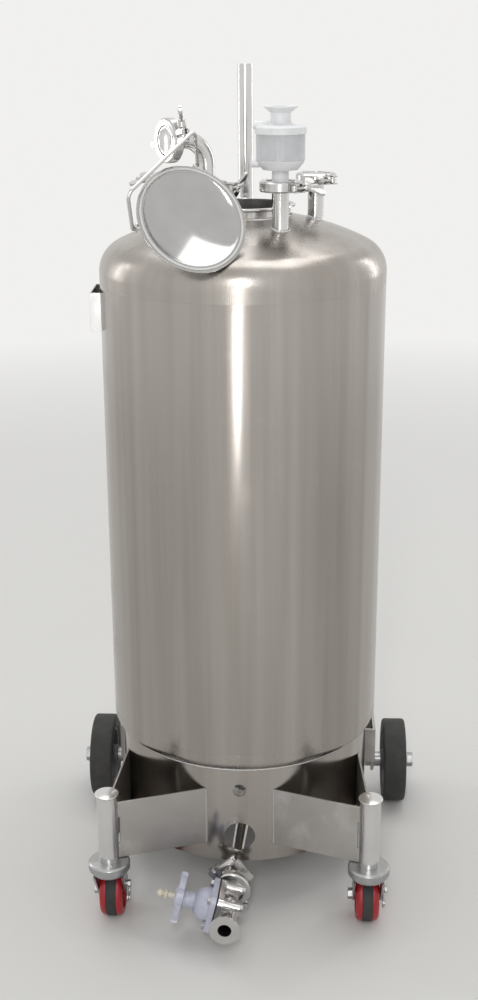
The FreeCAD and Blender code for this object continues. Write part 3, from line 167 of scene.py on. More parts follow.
def tubeSteel(name, shade=0.62, roughness=0.14):  # bright drawn and turned fittings
    finish = Finish(name, Metallic=1.0)
    cloud = finish.noise((28, 28, 28), detail=3)
    hairline = finish.noise((500, 500, 500), detail=2)
    finish.set("Base Color", finish.blend(cloud, grey(shade * 0.88, 0.012), grey(shade * 1.08, 0.008)))
    finish.set("Roughness", roughness + cloud * 0.09 + hairline * 0.04)
    finish.set("Normal", finish.bump(hairline, 0.00002, 0.4))
    return finish.material


def plateSteel(name):  # plate with a blasted, slightly stained face
    finish = Finish(name, Metallic=1.0)
    stain = finish.noise((11, 11, 15), detail=5, roughness=0.6)
    tooth = finish.noise((900, 900, 900), detail=1)
    haze = finish.mask(finish.noise((30, 30, 22), detail=3), 0.55, 0.8)
    tone = finish.blend(stain, grey(0.34, 0.06), grey(0.50, 0.04))
    finish.set("Base Color", finish.blend(haze * 0.5, tone, grey(0.64, 0.01)))
    finish.set("Roughness", 0.30 + stain * 0.14 + tooth * 0.05)
    finish.set("Normal", finish.bump(tooth, 0.00004, 0.5))
    return finish.material


def castSteel(name):  # investment cast and tumbled
    finish = Finish(name, Metallic=1.0)
    skin = finish.noise((900, 900, 900), detail=2)
    cloud = finish.noise((60, 60, 60), detail=2)
    finish.set("Base Color", finish.blend(cloud, grey(0.52, 0.02), grey(0.64, 0.01)))
    finish.set("Roughness", 0.16 + cloud * 0.10 + skin * 0.05)
    finish.set("Normal", finish.bump(skin, 0.00002, 0.5))
    return finish.material


def zincPlate(name):  # bright zinc, bluish, duller in patches
    finish = Finish(name, Metallic=1.0)
    cloud = finish.noise((70, 70, 70), detail=4)
    patch = finish.mask(finish.noise((22, 22, 22), detail=3), 0.45, 0.7)
    tone = finish.blend(cloud, (0.33, 0.335, 0.34, 1), (0.50, 0.505, 0.50, 1))
    finish.set("Base Color", finish.blend(patch * 0.5, tone, (0.36, 0.36, 0.36, 1)))
    finish.set("Roughness", 0.24 + cloud * 0.16 + patch * 0.1)
    finish.set("Normal", finish.bump(cloud, 0.00008, 0.5))
    return finish.material


def weldSteel(name):  # a rippled bead with straw and blue heat tint
    finish = Finish(name, Metallic=1.0)
    cloud = finish.noise((160, 160, 160), detail=3)
    # Beside the straw and blue heat tint, the bead colour is made lighter overall as a painted highlight along the
    # seams and the skirt rim.
    heatTintAndHighlight = finish.blend(finish.mask(cloud, 0.35, 0.65), (0.68, 0.64, 0.56, 1), (0.64, 0.66, 0.72, 1))
    finish.set("Base Color", heatTintAndHighlight)
    finish.set("Roughness", 0.28 + cloud * 0.2)
    finish.set("Normal", finish.bump(cloud, 0.0001, 0.6))
    return finish.material


def mouldedRubber(name, shade, scuffed):
    finish = Finish(name, Specular_IOR_Level=0.35)
    dust = finish.mask(finish.noise((34, 34, 34), detail=5, roughness=0.6), 0.35, 0.95)
    tooth = finish.noise((650, 650, 650), detail=2)
    finish.set("Base Color", finish.blend(dust * scuffed, grey(shade), (0.10, 0.097, 0.092, 1)))
    finish.set("Roughness", 0.62 + tooth * 0.14 + dust * 0.1)
    finish.set("Normal", finish.bump(tooth, 0.00006, 0.6))
    return finish.material


def mouldedPlastic(name, colour, worn, roughness=0.32, alpha=1.0):
    finish = Finish(name, Alpha=alpha)
    cloud = finish.noise((80, 80, 80), detail=4)
    scuff = finish.mask(finish.noise((190, 190, 190), detail=5, roughness=0.7), 0.58, 0.75)
    dark = tuple(c * 0.8 for c in colour) + (1,)
    tone = finish.blend(cloud, dark, tuple(colour) + (1,))
    finish.set("Base Color", finish.blend(scuff * 0.35, tone, tuple(worn) + (1,)))
    finish.set("Roughness", roughness + cloud * 0.1 + scuff * 0.15)
    finish.set("Normal", finish.bump(cloud, 0.00005, 0.4))
    return finish.material


def enamel(name):  # light grey enamel over a casting
    finish = Finish(name, Coat_Weight=0.35, Coat_Roughness=0.12)
    lump = finish.noise((130, 130, 130), detail=2)
    grime = finish.mask(finish.noise((48, 48, 48), detail=5, roughness=0.65), 0.55, 0.78)
    tone = finish.blend(lump, (0.44, 0.45, 0.55, 1), (0.53, 0.54, 0.64, 1))
    finish.set("Base Color", finish.blend(grime * 0.55, tone, (0.27, 0.27, 0.30, 1)))
    finish.set("Roughness", 0.34 + lump * 0.12 + grime * 0.15)
    finish.set("Normal", finish.bump(lump, 0.0003, 0.6))
    return finish.material


finishes = {
    "polished_steel": tubeSteel("brightTube", 0.68),
    "brushed_steel": plateSteel("armPlate"),
    "cast_steel": castSteel("castFittings"),
    "zinc": zincPlate("zincParts"),
    "rubber": mouldedRubber("sealRubber", 0.025, 0.3),
    "gasket_white": mouldedPlastic("silicone", (0.74, 0.74, 0.72), (0.6, 0.6, 0.58), 0.45),
    "tyre": mouldedRubber("tyreRubber", 0.035, 0.6),
    "red_plastic": mouldedPlastic("redWheel", (0.40, 0.014, 0.022), (0.24, 0.08, 0.07)),
    "grey_hub": mouldedPlastic("greyHub", (0.10, 0.10, 0.11), (0.2, 0.2, 0.2), 0.5),
    "filter_plastic": mouldedPlastic("whiteCapsule", (0.90, 0.91, 0.92), (0.84, 0.84, 0.84), 0.34),
    "painted_casting": enamel("greyEnamel"),
    "cream_plastic": mouldedPlastic("creamSpindle", (0.74, 0.68, 0.55), (0.6, 0.55, 0.45), 0.3),
}
tankSkin = tankSteel("tankSkin", 0.14, 0.0014)
domeSkin = tankSteel("domeSkin", 0.06, 0.0008, 0.22)
skirtSkin = tankSteel("skirtSkin", 0.10, 0.0016)
# The lid's steel is given a darker shade than the other fittings, as a painted reflection of a dark room in its
# dish.
mirrorSteel = tubeSteel("mirrorLid", 0.48, 0.06)
beadFinish = weldSteel("weldBead")
membrane = mouldedPlastic("filterMembrane", (0.90, 0.91, 0.93), (0.7, 0.7, 0.7), 0.6)
capsuleWall = mouldedPlastic("clearCapsule", (0.90, 0.91, 0.93), (0.75, 0.75, 0.75), 0.3, 0.55)
print("finishes made")

# Making meshes


mergeWithin = {"turned": 0.01, "slivers": 0.005, "cad": 0.004, "flatDegrees": 0.4}


def turns(steps):  # the angles of even steps round a circle
    return [2 * math.pi * k / steps for k in range(steps)]


def placed(name, data):
    piece = bpy.data.objects.new(name, data)
    bpy.context.scene.collection.objects.link(piece)
    return piece


def meshPiece(name, vertices, faces, edges=()):
    mesh = bpy.data.meshes.new(name)
    mesh.from_pydata([tuple(v) for v in vertices], list(edges), faces)
    return placed(name, mesh)


def finished(name, made):  # a new piece from the bmesh, which is used up
    mesh = bpy.data.meshes.new(name)
    made.to_mesh(mesh)
    made.free()
    return placed(name, mesh)


def smooth(piece, degrees=38):
    piece.data.shade_smooth()
    piece.data.set_sharp_from_angle(angle=math.radians(degrees))


def evenNormals(piece):  # flat parts stay flat beside small rounded edges
    modifier = piece.modifiers.new("evenNormals", "WEIGHTED_NORMAL")
    modifier.keep_sharp = True


def dress(piece, body, material, slot, *stoodFor):
    piece.data.materials.clear()
    piece.data.materials.append(material)
    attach(piece, body)
    if stoodFor:
        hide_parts(*stoodFor)


def softCorners(profile, radius, steps=3):  # rounds each sharp corner of a closed (radius, height) outline
    sharp, share, tiny = math.radians(24), 0.42, 1e-6
    softened = []
    count = len(profile)
    for i, corner in enumerate(profile):
        here = Vector(corner)
        back = Vector(profile[i - 1]) - here
        ahead = Vector(profile[(i + 1) % count]) - here
        if back.length < tiny or ahead.length < tiny:
            continue
        turn = math.pi - back.angle(ahead)
        if turn < sharp or corner[0] < tiny:
            softened.append(here)
            continue
        reach = min(radius * math.tan(turn / 2), share * back.length, share * ahead.length)
        start = here + back.normalized() * reach
        end = here + ahead.normalized() * reach
        for k in range(steps + 1):
            t = k / steps
            softened.append(start * (1 - t) ** 2 + here * 2 * t * (1 - t) + end * t ** 2)
    return softened


def turnedPiece(name, profile, place=Matrix.Identity(4), steps=144, edge=0.4):
    # Turns a closed outline of (radius, height) in millimetres about the place's Z axis.
    outline = softCorners(profile, edge)
    made = bmesh.new()
    rings = []
    for angle in turns(steps):
        around = Vector((math.cos(angle), math.sin(angle), 0))
        rings.append([made.verts.new(place @ ((around * p.x + Vector((0, 0, p.y))) * mm)) for p in outline])
    for k in range(steps):
        this, other = rings[k], rings[(k + 1) % steps]
        for i in range(len(outline)):
            j = (i + 1) % len(outline)
            made.faces.new((this[i], this[j], other[j], other[i]))
    bmesh.ops.remove_doubles(made, verts=made.verts, dist=mergeWithin["turned"] * mm)
    bmesh.ops.dissolve_degenerate(made, edges=made.edges, dist=mergeWithin["slivers"] * mm)
    bmesh.ops.recalc_face_normals(made, faces=made.faces)
    piece = finished(name, made)
    smooth(piece)
    evenNormals(piece)
    return piece


def arcPoints(middle, radius, first, last, steps):
    points = []
    for k in range(steps + 1):
        angle = math.radians(first + (last - first) * k / steps)
        points.append((middle[0] + radius * math.cos(angle), middle[1] + radius * math.sin(angle)))
    return points


def cadCopy(node, edge=0.5, degrees=32, segments=2):
    # The CAD solid itself, with merged faces and small rounded edges.
    made = bmesh.new()
    made.from_mesh(nodes[node].data)
    bmesh.ops.remove_doubles(made, verts=made.verts, dist=mergeWithin["cad"] * mm)
    bmesh.ops.dissolve_limit(made, angle_limit=math.radians(mergeWithin["flatDegrees"]), verts=made.verts,
                             edges=made.edges)
    piece = finished(node + "_finished", made)
    smooth(piece, degrees)
    if edge:
        modifier = piece.modifiers.new("roundedEdges", "BEVEL")
        modifier.width = edge * mm
        modifier.segments = segments
        modifier.limit_method = "ANGLE"
        modifier.angle_limit = math.radians(degrees)
        modifier.harden_normals = True
        modifier.use_clamp_overlap = True
    return piece


def plainMesh(piece):  # the piece with its modifiers applied
    bpy.context.view_layer.update()
    mesh = bpy.data.meshes.new_from_object(piece.evaluated_get(bpy.context.evaluated_depsgraph_get()))
    piece.modifiers.clear()
    piece.data = mesh


def joined(name, pieces):
    made = bmesh.new()
    for piece in pieces:
        made.from_mesh(piece.data)
        bpy.data.objects.remove(piece)
    return finished(name, made)


# Recipes in Geometry Nodes


class Recipe(Graph):  # a geometry tree with named sizes
    def __init__(self, name, **sizes):
        super().__init__(bpy.data.node_groups.new(name, "GeometryNodeTree"))
        sockets = self.tree.interface
        sockets.new_socket("Path", in_out="INPUT", socket_type="NodeSocketGeometry")
        for label, value in sizes.items():
            kind = "NodeSocketInt" if isinstance(value, int) else "NodeSocketFloat"
            entry = sockets.new_socket(label.replace("_", " "), in_out="INPUT", socket_type=kind)
            entry.default_value = value
        sockets.new_socket("Finish", in_out="INPUT", socket_type="NodeSocketMaterial")
        sockets.new_socket("Result", in_out="OUTPUT", socket_type="NodeSocketGeometry")
        self.entry = self.tree.nodes.new("NodeGroupInput")
        self.exit = self.tree.nodes.new("NodeGroupOutput")

    def size(self, label):
        return Value(self.tree, self.entry.outputs[label])

    def close(self, geometry):
        solid = self.node("GeometryNodeRealizeInstances", Geometry=geometry)
        dressed = self.node("GeometryNodeSetMaterial", Geometry=solid.outputs[0],
                            Material=self.entry.outputs["Finish"])
        self.feed(self.exit.inputs["Result"], dressed.outputs[0])

    def make(self, piece, material, **sizes):
        modifier = piece.modifiers.new(self.tree.name, "NODES")
        modifier.node_group = self.tree
        for socket in self.tree.interface.items_tree:
            label = socket.name.replace(" ", "_")
            if socket.in_out == "INPUT" and label in sizes:
                modifier[socket.identifier] = sizes[label]
            if socket.in_out == "INPUT" and label == "Finish":
                modifier[socket.identifier] = material
        plainMesh(piece)
        return piece


def weldRecipe():  # overlapping ripples laid along a path
    recipe = Recipe("weldRipples", Bead_Width=0.004, Ripple_Spacing=0.0016, Height=0.35)
    width = recipe.size("Bead Width")
    curve = recipe.node("GeometryNodeMeshToCurve", Mesh=recipe.entry.outputs["Path"])
    points = recipe.node("GeometryNodeCurveToPoints", {"mode": "LENGTH"}, Curve=curve.outputs[0],
                         Length=recipe.size("Ripple Spacing"))
    ripple = recipe.node("GeometryNodeMeshUVSphere", Segments=8, Rings=5, Radius=0.5)
    along = recipe.node("ShaderNodeCombineXYZ", X=width * recipe.size("Height"), Y=width, Z=width * 0.62)
    laid = recipe.node("GeometryNodeInstanceOnPoints", Points=points.outputs[0], Instance=ripple.outputs[0],
                       Rotation=points.outputs[3], Scale=along.outputs[0])
    shaded = recipe.node("GeometryNodeSetShadeSmooth", Geometry=laid.outputs[0])
    recipe.close(shaded.outputs[0])
    return recipe


def pleatRecipe():  # upright folds stood in a ring, one on each point of the path
    recipe = Recipe("pleatRing", Fold_Depth=0.01, Fold_Width=0.001, Fold_Height=0.03)
    fold = recipe.node("GeometryNodeMeshCube", Vertices_X=2, Vertices_Y=2, Vertices_Z=3)
    reach = recipe.node("ShaderNodeCombineXYZ", X=recipe.size("Fold Depth"), Y=recipe.size("Fold Width"),
                        Z=recipe.size("Fold Height"))
    recipe.feed(fold.inputs["Size"], reach.outputs[0])
    outward = recipe.node("GeometryNodeInputNamedAttribute", {"data_type": "FLOAT_VECTOR"}, Name="outward")
    facing = recipe.node("FunctionNodeAlignRotationToVector", {"axis": "X"}, Vector=outward.outputs[0])
    laid = recipe.node("GeometryNodeInstanceOnPoints", Points=recipe.entry.outputs["Path"],
                       Instance=fold.outputs[0], Rotation=facing.outputs[0])
    recipe.close(laid.outputs[0])
    return recipe


weld = weldRecipe()
pleats = pleatRecipe()
ripplePitch = 0.42  # of the bead's width


def weldBead(name, body, paths, width=4.0, closed=True):
    # Each path is a list of points in millimetres.
    vertices, edges = [], []
    for path in paths:
        start = len(vertices)
        vertices += [Vector(point) * mm for point in path]
        count = len(path)
        edges += [(start + i, start + (i + 1) % count) for i in range(count if closed else count - 1)]
    bead = weld.make(meshPiece(name, vertices, [], edges), beadFinish, Bead_Width=width * mm,
                     Ripple_Spacing=ripplePitch * width * mm)
    dress(bead, body, beadFinish, "polished_steel")
    return bead


def ringPath(centre, radius, height, steps=96):  # height is a number or a rule of the point's own radius
    path = []
    for angle in turns(steps):
        x, y = centre[0] + radius * math.cos(angle), centre[1] + radius * math.sin(angle)
        path.append((x, y, height(math.hypot(x, y)) if callable(height) else height))
    return path


# Camera

view = {"heading": 2.5, "distance": 2.1811, "height": 1.3933, "pitch": 18.64, "roll": -0.32, "lens": 49.07,
        "aside": 0.2186}
lens = bpy.data.cameras.new("viewCamera")
lens.sensor_fit = "VERTICAL"
lens.sensor_height = 36
lens.lens = view["lens"]
viewer = placed("viewCamera", lens)
heading = math.radians(view["heading"])
viewer.location = (math.sin(heading) * view["distance"], -math.cos(heading) * view["distance"],
                   view["height"])
aim = Matrix.Rotation(heading + math.radians(view["aside"]), 4, "Z")
aim = aim @ Matrix.Rotation(math.radians(90 - view["pitch"]), 4, "X")
aim = aim @ Matrix.Rotation(math.radians(view["roll"]), 4, "Z")
viewer.rotation_euler = aim.to_euler()
bpy.context.scene.camera = viewer

# Tank: three sheet parts that are turned about the upright axis

tank = {"radius": 228.6, "sheet": 2.0, "knuckle": 50.0, "crown": 457.2, "headFlange": 17.0, "mouthPipe": 76.2,
        "bottomKnuckle": 16.0, "bottomFlange": 14.0, "coneSlope": 38.0, "outletPipe": 12.7, "steps": 256,
        "headSteps": 22, "bottomSteps": 10}
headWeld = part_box("shell")[1].z / mm
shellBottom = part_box("shell")[0].z / mm
headTangent = headWeld + tank["headFlange"]
crownRise = tank["crown"] - math.sqrt((tank["crown"] - tank["knuckle"]) ** 2
                                      - (tank["radius"] - tank["knuckle"]) ** 2)


def headHeight(radius):  # outside of the crown
    return headTangent + crownRise - tank["crown"] + math.sqrt(tank["crown"] ** 2 - radius ** 2)


def headSide(offset, steps=tank["headSteps"]):  # from the weld up the knuckle and over the crown to the mouth
    radius, knuckle, crown = tank["radius"] - offset, tank["knuckle"] - offset, tank["crown"] - offset
    rise = crown - math.sqrt((crown - knuckle) ** 2 - (radius - knuckle) ** 2)
    meet = math.degrees(math.atan2(crown - rise, radius - knuckle))
    end = math.degrees(math.acos(tank["mouthPipe"] / crown))
    side = arcPoints((radius - knuckle, headTangent), knuckle, 0, meet, steps)
    side += arcPoints((0, headTangent + rise - crown), crown, meet, end, steps)[1:]
    return [(radius, headWeld)] + side


def bottomSide(offset, steps=tank["bottomSteps"]):  # from the weld round the knuckle and down to the pipe
    radius, knuckle = tank["radius"] - offset, tank["bottomKnuckle"] - offset
    tangent = shellBottom - tank["bottomFlange"]
    side = arcPoints((radius - knuckle, tangent), knuckle, 0, -(90 - tank["coneSlope"]), steps)
    end = side[-1]
    drop = (end[0] - tank["outletPipe"]) * math.tan(math.radians(tank["coneSlope"]))
    return [(radius, shellBottom)] + side + [(tank["outletPipe"], end[1] - drop)]


inside = tank["radius"] - tank["sheet"]
wall = [(inside, shellBottom), (tank["radius"], shellBottom), (tank["radius"], headWeld), (inside, headWeld)]
head = headSide(0) + headSide(tank["sheet"])[::-1]
bottom = bottomSide(0) + bottomSide(tank["sheet"])[::-1]
sheets = (("tankShell", wall, tankSkin, "shell"), ("tankHead", head, domeSkin, "top_head"),
          ("tankCone", bottom, domeSkin, "bottom_cone"))
for name, outline, skin, node in sheets:
    sheet = turnedPiece(name, outline, steps=tank["steps"], edge=0.1)
    dress(sheet, "tank", skin, "polished_steel", node)
print("tank turned")

# Skirt, with its two round holes


def cutter(radius, reach, place, steps):  # a plain pin, to be taken away from something
    outline = [(0.001, -reach), (radius, -reach), (radius, reach), (0.001, reach)]
    pin = turnedPiece("cutter", outline, place, steps, 0.0)
    pin.modifiers.clear()
    return pin


def cutBy(piece, tool):
    modifier = piece.modifiers.new("hole", "BOOLEAN")
    modifier.operation = "DIFFERENCE"
    modifier.solver = "EXACT"
    modifier.object = tool


skirtSizes = {"radius": 214.5, "sheet": 2.0, "front": 210.0, "holes": ((11.0, 227.0), (25.5, 140.0))}
skirtLow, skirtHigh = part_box("skirt")
skirtBottom, skirtTop = skirtLow.z / mm, skirtHigh.z / mm
skirtIn = skirtSizes["radius"] - skirtSizes["sheet"]
topDrop = skirtSizes["sheet"] * math.tan(math.radians(tank["coneSlope"]))
skirtWall = [(skirtIn, skirtBottom), (skirtSizes["radius"], skirtBottom), (skirtSizes["radius"], skirtTop),
             (skirtIn, skirtTop - topDrop)]
skirt = turnedPiece("tankSkirt", skirtWall, steps=tank["steps"], edge=0.3)
skirt.modifiers.clear()
forward = Matrix.Translation((0, -skirtSizes["front"] * mm, 0)) @ Matrix.Rotation(math.pi / 2, 4, "X")
for radius, height in skirtSizes["holes"]:
    pin = cutter(radius, 30, Matrix.Translation((0, 0, height * mm)) @ forward, 72)
    cutBy(skirt, pin)
    plainMesh(skirt)
    bpy.data.objects.remove(pin)
smooth(skirt)
dress(skirt, "tank", skirtSkin, "polished_steel", "skirt")
print("skirt cut")

# Lid, laid on its side against the tank: a flanged plate with a deep dish

lidSizes = {"flange": 83.5, "edge": 2.6, "pipe": 76.2, "slope": 20.0, "dish": 72.0, "lip": 1.5, "depth": 16.0,
            "sheet": 2.0, "grooveIn": 76.4, "grooveOut": 79.6, "groove": 1.2,
            "lugs": 71.7, "lugThickness": 4.0, "lugWidth": 12.0, "lugDrop": 5.6, "lugTop": -2.0, "hole": 2.9}
sealPoints = np.array([v.co for v in nodes["lid_seal"].data.vertices])
sealMiddle = (sealPoints.min(axis=0) + sealPoints.max(axis=0)) / 2
lidNormal = Vector(np.linalg.svd(sealPoints - sealPoints.mean(axis=0))[2][2])
if lidNormal.y > 0:
    lidNormal.negate()
spread = (sealPoints - sealMiddle) @ np.array(lidNormal)
lidCentre = Vector(sealMiddle) + lidNormal * (float(spread.min()) + lidSizes["groove"] * mm)
bailJoint = next(joint for joint in frame["joints"] if joint["name"] == "bail_swing")
bailAxis = Vector(bailJoint["axis"])
bailAxis = (bailAxis - lidNormal * bailAxis.dot(lidNormal)).normalized()


def axes(origin, x, z):  # the place with these X and Z directions
    turn = Matrix((x, z.cross(x), z)).transposed().to_4x4()
    return Matrix.Translation(origin) @ turn


lidPlace = axes(lidCentre, bailAxis, lidNormal)


def dishArc(radius, edge, apex, steps):  # from the edge to the axis, level at the axis
    rise = apex - edge
    ball = (radius ** 2 + rise ** 2) / (2 * abs(rise))
    points = []
    for k in range(steps + 1):
        r = radius * (1 - k / steps)
        points.append((r, apex - math.copysign(ball - math.sqrt(ball ** 2 - r ** 2), rise)))
    return points


def lidOutline(s):
    back = -s["edge"] - (s["flange"] - s["pipe"]) * math.tan(math.radians(s["slope"]))
    outer = dishArc(s["pipe"], back, -s["depth"] - s["sheet"], 16)
    inner = dishArc(s["dish"], -s["lip"], -s["depth"], 16)[::-1]
    face = [(s["dish"] + s["lip"], 0), (s["grooveIn"], 0), (s["grooveIn"], -s["groove"]),
            (s["grooveOut"], -s["groove"]), (s["grooveOut"], 0), (s["flange"], 0), (s["flange"], -s["edge"])]
    return inner + face + outer


lid = turnedPiece("lidPlate", lidOutline(lidSizes), lidPlace, steps=192, edge=0.5)
dress(lid, "lid", mirrorSteel, "polished_steel", "lid")


def roundedBlock(name, low, high, place, edge=0.8, hole=None):
    made = bmesh.new()
    bmesh.ops.create_cube(made, size=1.0)
    middle, size = (Vector(low) + Vector(high)) / 2, Vector(high) - Vector(low)
    for v in made.verts:
        v.co = place @ ((middle + Vector(a * b for a, b in zip(v.co, size))) * mm)
    bmesh.ops.recalc_face_normals(made, faces=made.faces)
    piece = finished(name, made)
    if hole:
        cutBy(piece, hole)
    rounding = piece.modifiers.new("roundedEdges", "BEVEL")
    rounding.width = edge * mm
    rounding.segments = 3
    rounding.limit_method = "ANGLE"
    rounding.harden_normals = True
    plainMesh(piece)
    smooth(piece)
    return piece


hingeAt = lidPlace.inverted() @ Vector(bailJoint["pos_m"]) / mm
pin = cutter(lidSizes["hole"], 90, axes(Vector(bailJoint["pos_m"]), lidNormal, bailAxis), 32)
lugs = []
for side in (-1, 1):
    x, half = side * lidSizes["lugs"], lidSizes["lugThickness"] / 2
    low = (x - half, hingeAt.y - lidSizes["lugWidth"] / 2, hingeAt.z - lidSizes["lugDrop"])
    high = (x + half, hingeAt.y + lidSizes["lugWidth"] / 2, lidSizes["lugTop"])
    lugs.append(roundedBlock("lug", low, high, lidPlace, 1.0, pin))
bpy.data.objects.remove(pin)
dress(joined("lidLugs", lugs), "lid", finishes["cast_steel"], "polished_steel")
print("lid made")

# Weld beads

ports = {"circle": 118.0, "pipe": 12.7, "angles": (-114.5, -58.9, 166.0, 13.0), "riser": 90.0, "collar": 16.5}
beads = {  # outward, up, width
    "port": (1.2, 0.6, 4.2), "collar": (1.0, 0.5, 4.2), "riser": (1.0, 0.2, 3.4), "mouth": (1.2, 0.5, 4.6),
    "seam": (-0.6, 0.0, 3.0), "skirt": (0.6, -0.3, 3.4), "cap": (0.9, -0.8, 3.0),
}


def portSpot(degrees):
    angle = math.radians(degrees)
    return (ports["circle"] * math.cos(angle), ports["circle"] * math.sin(angle))


def onHead(lift):
    return lambda radius: headHeight(radius) + lift


def beadRing(kind, centre, radius, height, steps):
    outward, up, _ = beads[kind]
    return ringPath(centre, radius + outward, onHead(up) if height is None else height + up, steps)


middle = (0, 0)
riserSpot = portSpot(ports["riser"])
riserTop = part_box("riser_collar")[1].z / mm
portRings = [beadRing("port", portSpot(angle), ports["pipe"], None, 48) for angle in ports["angles"]]
portRings.append(beadRing("collar", riserSpot, ports["collar"], None, 56))
weldBead("portWelds", "tank", portRings, beads["port"][2])
weldBead("riserWeld", "tank", [beadRing("riser", riserSpot, ports["pipe"], riserTop, 40)], beads["riser"][2])
weldBead("mouthWeld", "tank", [beadRing("mouth", middle, tank["mouthPipe"], None, 160)], beads["mouth"][2])
seams = [beadRing("seam", middle, tank["radius"], height, 320) for height in (headWeld, shellBottom)]
weldBead("seamWelds", "tank", seams, beads["seam"][2])
skirtRing = beadRing("skirt", middle, skirtSizes["radius"], skirtTop, 300)
weldBead("skirtWeld", "tank", [skirtRing], beads["skirt"][2])

arm = {"inner": -75.0, "outer": -21.9, "plate": 3.0, "legRadius": 16.7, "margin": 3, "tack": 22,
       "weldSteps": 8, "bead": 4.0, "aside": 0.6, "offSkirt": 1.2, "offLeg": 1.0}
armLow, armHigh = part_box("right_arm")
armBottom, armTop = armLow.z / mm + arm["margin"], armHigh.z / mm - arm["margin"]
legLow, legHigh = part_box("leg_tubes")
legReach = legHigh.x / mm - arm["legRadius"]
legForward = legLow.y / mm + arm["legRadius"]


def uprightPath(x, y, low, high):
    steps = arm["weldSteps"]
    return [(x, y, low + (high - low) * k / steps) for k in range(steps + 1)]


for side, name in ((-1, "left"), (1, "right")):
    paths = []
    for degrees in (arm["inner"], arm["outer"]):
        angle = math.radians(degrees)
        reach = skirtSizes["radius"]
        root = Vector((side * reach * math.cos(angle), reach * math.sin(angle), 0))
        leg = Vector((side * legReach, legForward, 0))
        away = (leg - root).normalized()
        across = Vector((-away.y, away.x, 0)) * (arm["plate"] / 2 + arm["aside"])
        for shift in (-1, 1):
            foot = root + away * arm["offSkirt"] + across * shift
            paths.append(uprightPath(foot.x, foot.y, armBottom, armTop))
            foot = leg - away * (arm["legRadius"] + arm["offLeg"]) + across * shift
            paths.append(uprightPath(foot.x, foot.y, armBottom, armBottom + arm["tack"]))
            paths.append(uprightPath(foot.x, foot.y, armTop - arm["tack"], armTop))
    weldBead(name + "ArmWelds", "tank", paths, arm["bead"], closed=False)
    capRing = beadRing("cap", (side * legReach, legForward), arm["legRadius"], legHigh.z / mm, 48)
    weldBead(name + "CapWeld", "tank", [capRing], beads["cap"][2])
print("welds laid")

# Filter capsule: a clear ribbed wall round a ring of pleats

capsule = {"wall": 36.5, "inner": 34.4, "ribs": 40, "ribDepth": 0.5, "ribEnd": 1.5, "ribFull": 2.5,
           "stepsPerRib": 6, "folds": 72, "foldDepth": 8.0, "foldWidth": 1.1, "core": 25.0, "height": 37.5,
           "margin": 1.0, "bore": 11.05, "flange": 25.25, "edge": 2.0, "slope": 20.0, "neck": 12.7,
           "neckTop": 22.4, "shoulder": (26.3, 23.4), "bowl": (34.5, 33.4), "thick": 2.0, "ventRadius": 6.0,
           "ventBore": 4.0, "ventStart": 29.7, "ventReach": 43.2, "ventHeight": 32.4}
capsuleLow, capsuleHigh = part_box("filter_body")
capsuleTop = capsuleHigh.z / mm
filterAt = portSpot(ports["angles"][1])


def overFilter(z):
    return Matrix.Translation(Vector((filterAt[0], filterAt[1], z)) * mm)


foldPlace = overFilter(capsuleTop - capsule["height"] / 2)
foldRadius = capsule["core"] + capsule["foldDepth"] / 2
foldFeet = [foldPlace @ (Vector((math.cos(angle), math.sin(angle), 0)) * foldRadius * mm)
            for angle in turns(capsule["folds"])]
folds = meshPiece("filterPleats", foldFeet, [])
centre = foldPlace.translation
foldTurn = folds.data.attributes.new("outward", "FLOAT_VECTOR", "POINT")
for entry, foot in zip(foldTurn.data, foldFeet):
    entry.vector = (foot - centre).normalized()
pleats.make(folds, membrane, Fold_Depth=capsule["foldDepth"] * mm, Fold_Width=capsule["foldWidth"] * mm,
            Fold_Height=(capsule["height"] - 2 * capsule["margin"]) * mm)
dress(folds, "tank", membrane, "filter_plastic")


def capsuleFoot(s):  # clamp flange, neck and bowl, up to the ribbed wall
    rise = (s["flange"] - s["neck"]) * math.tan(math.radians(s["slope"]))
    top = (capsuleTop - capsuleLow.z / mm) - s["height"]
    (shoulder, low), (bowl, high) = s["shoulder"], s["bowl"]
    outside = [(s["flange"], 0), (s["flange"], s["edge"]), (s["neck"], s["edge"] + rise),
               (s["neck"], s["neckTop"]), (shoulder, low), (bowl, high), (s["wall"], top)]
    hollow = [(s["inner"], top), (bowl - s["thick"], high + 1), (shoulder - s["thick"], low + s["thick"]),
              (s["bore"], s["neckTop"] + s["thick"]), (s["bore"], 0)]
    foot = turnedPiece("filterFoot", outside + hollow, overFilter(capsuleLow.z / mm), steps=96, edge=0.5)
    vent = [(s["ventBore"], s["ventStart"]), (s["ventRadius"], s["ventStart"]),
            (s["ventRadius"], s["ventReach"]), (s["ventBore"], s["ventReach"])]
    ventPlace = axes(overFilter(capsuleLow.z / mm + s["ventHeight"]).translation, Vector((0, 1, 0)),
                     Vector((-1, 0, 0)))
    return joined("filterFoot", [foot, turnedPiece("filterVent", vent, ventPlace, steps=48, edge=0.5)])


dress(capsuleFoot(capsule), "tank", finishes["filter_plastic"], "filter_plastic", "filter_body")


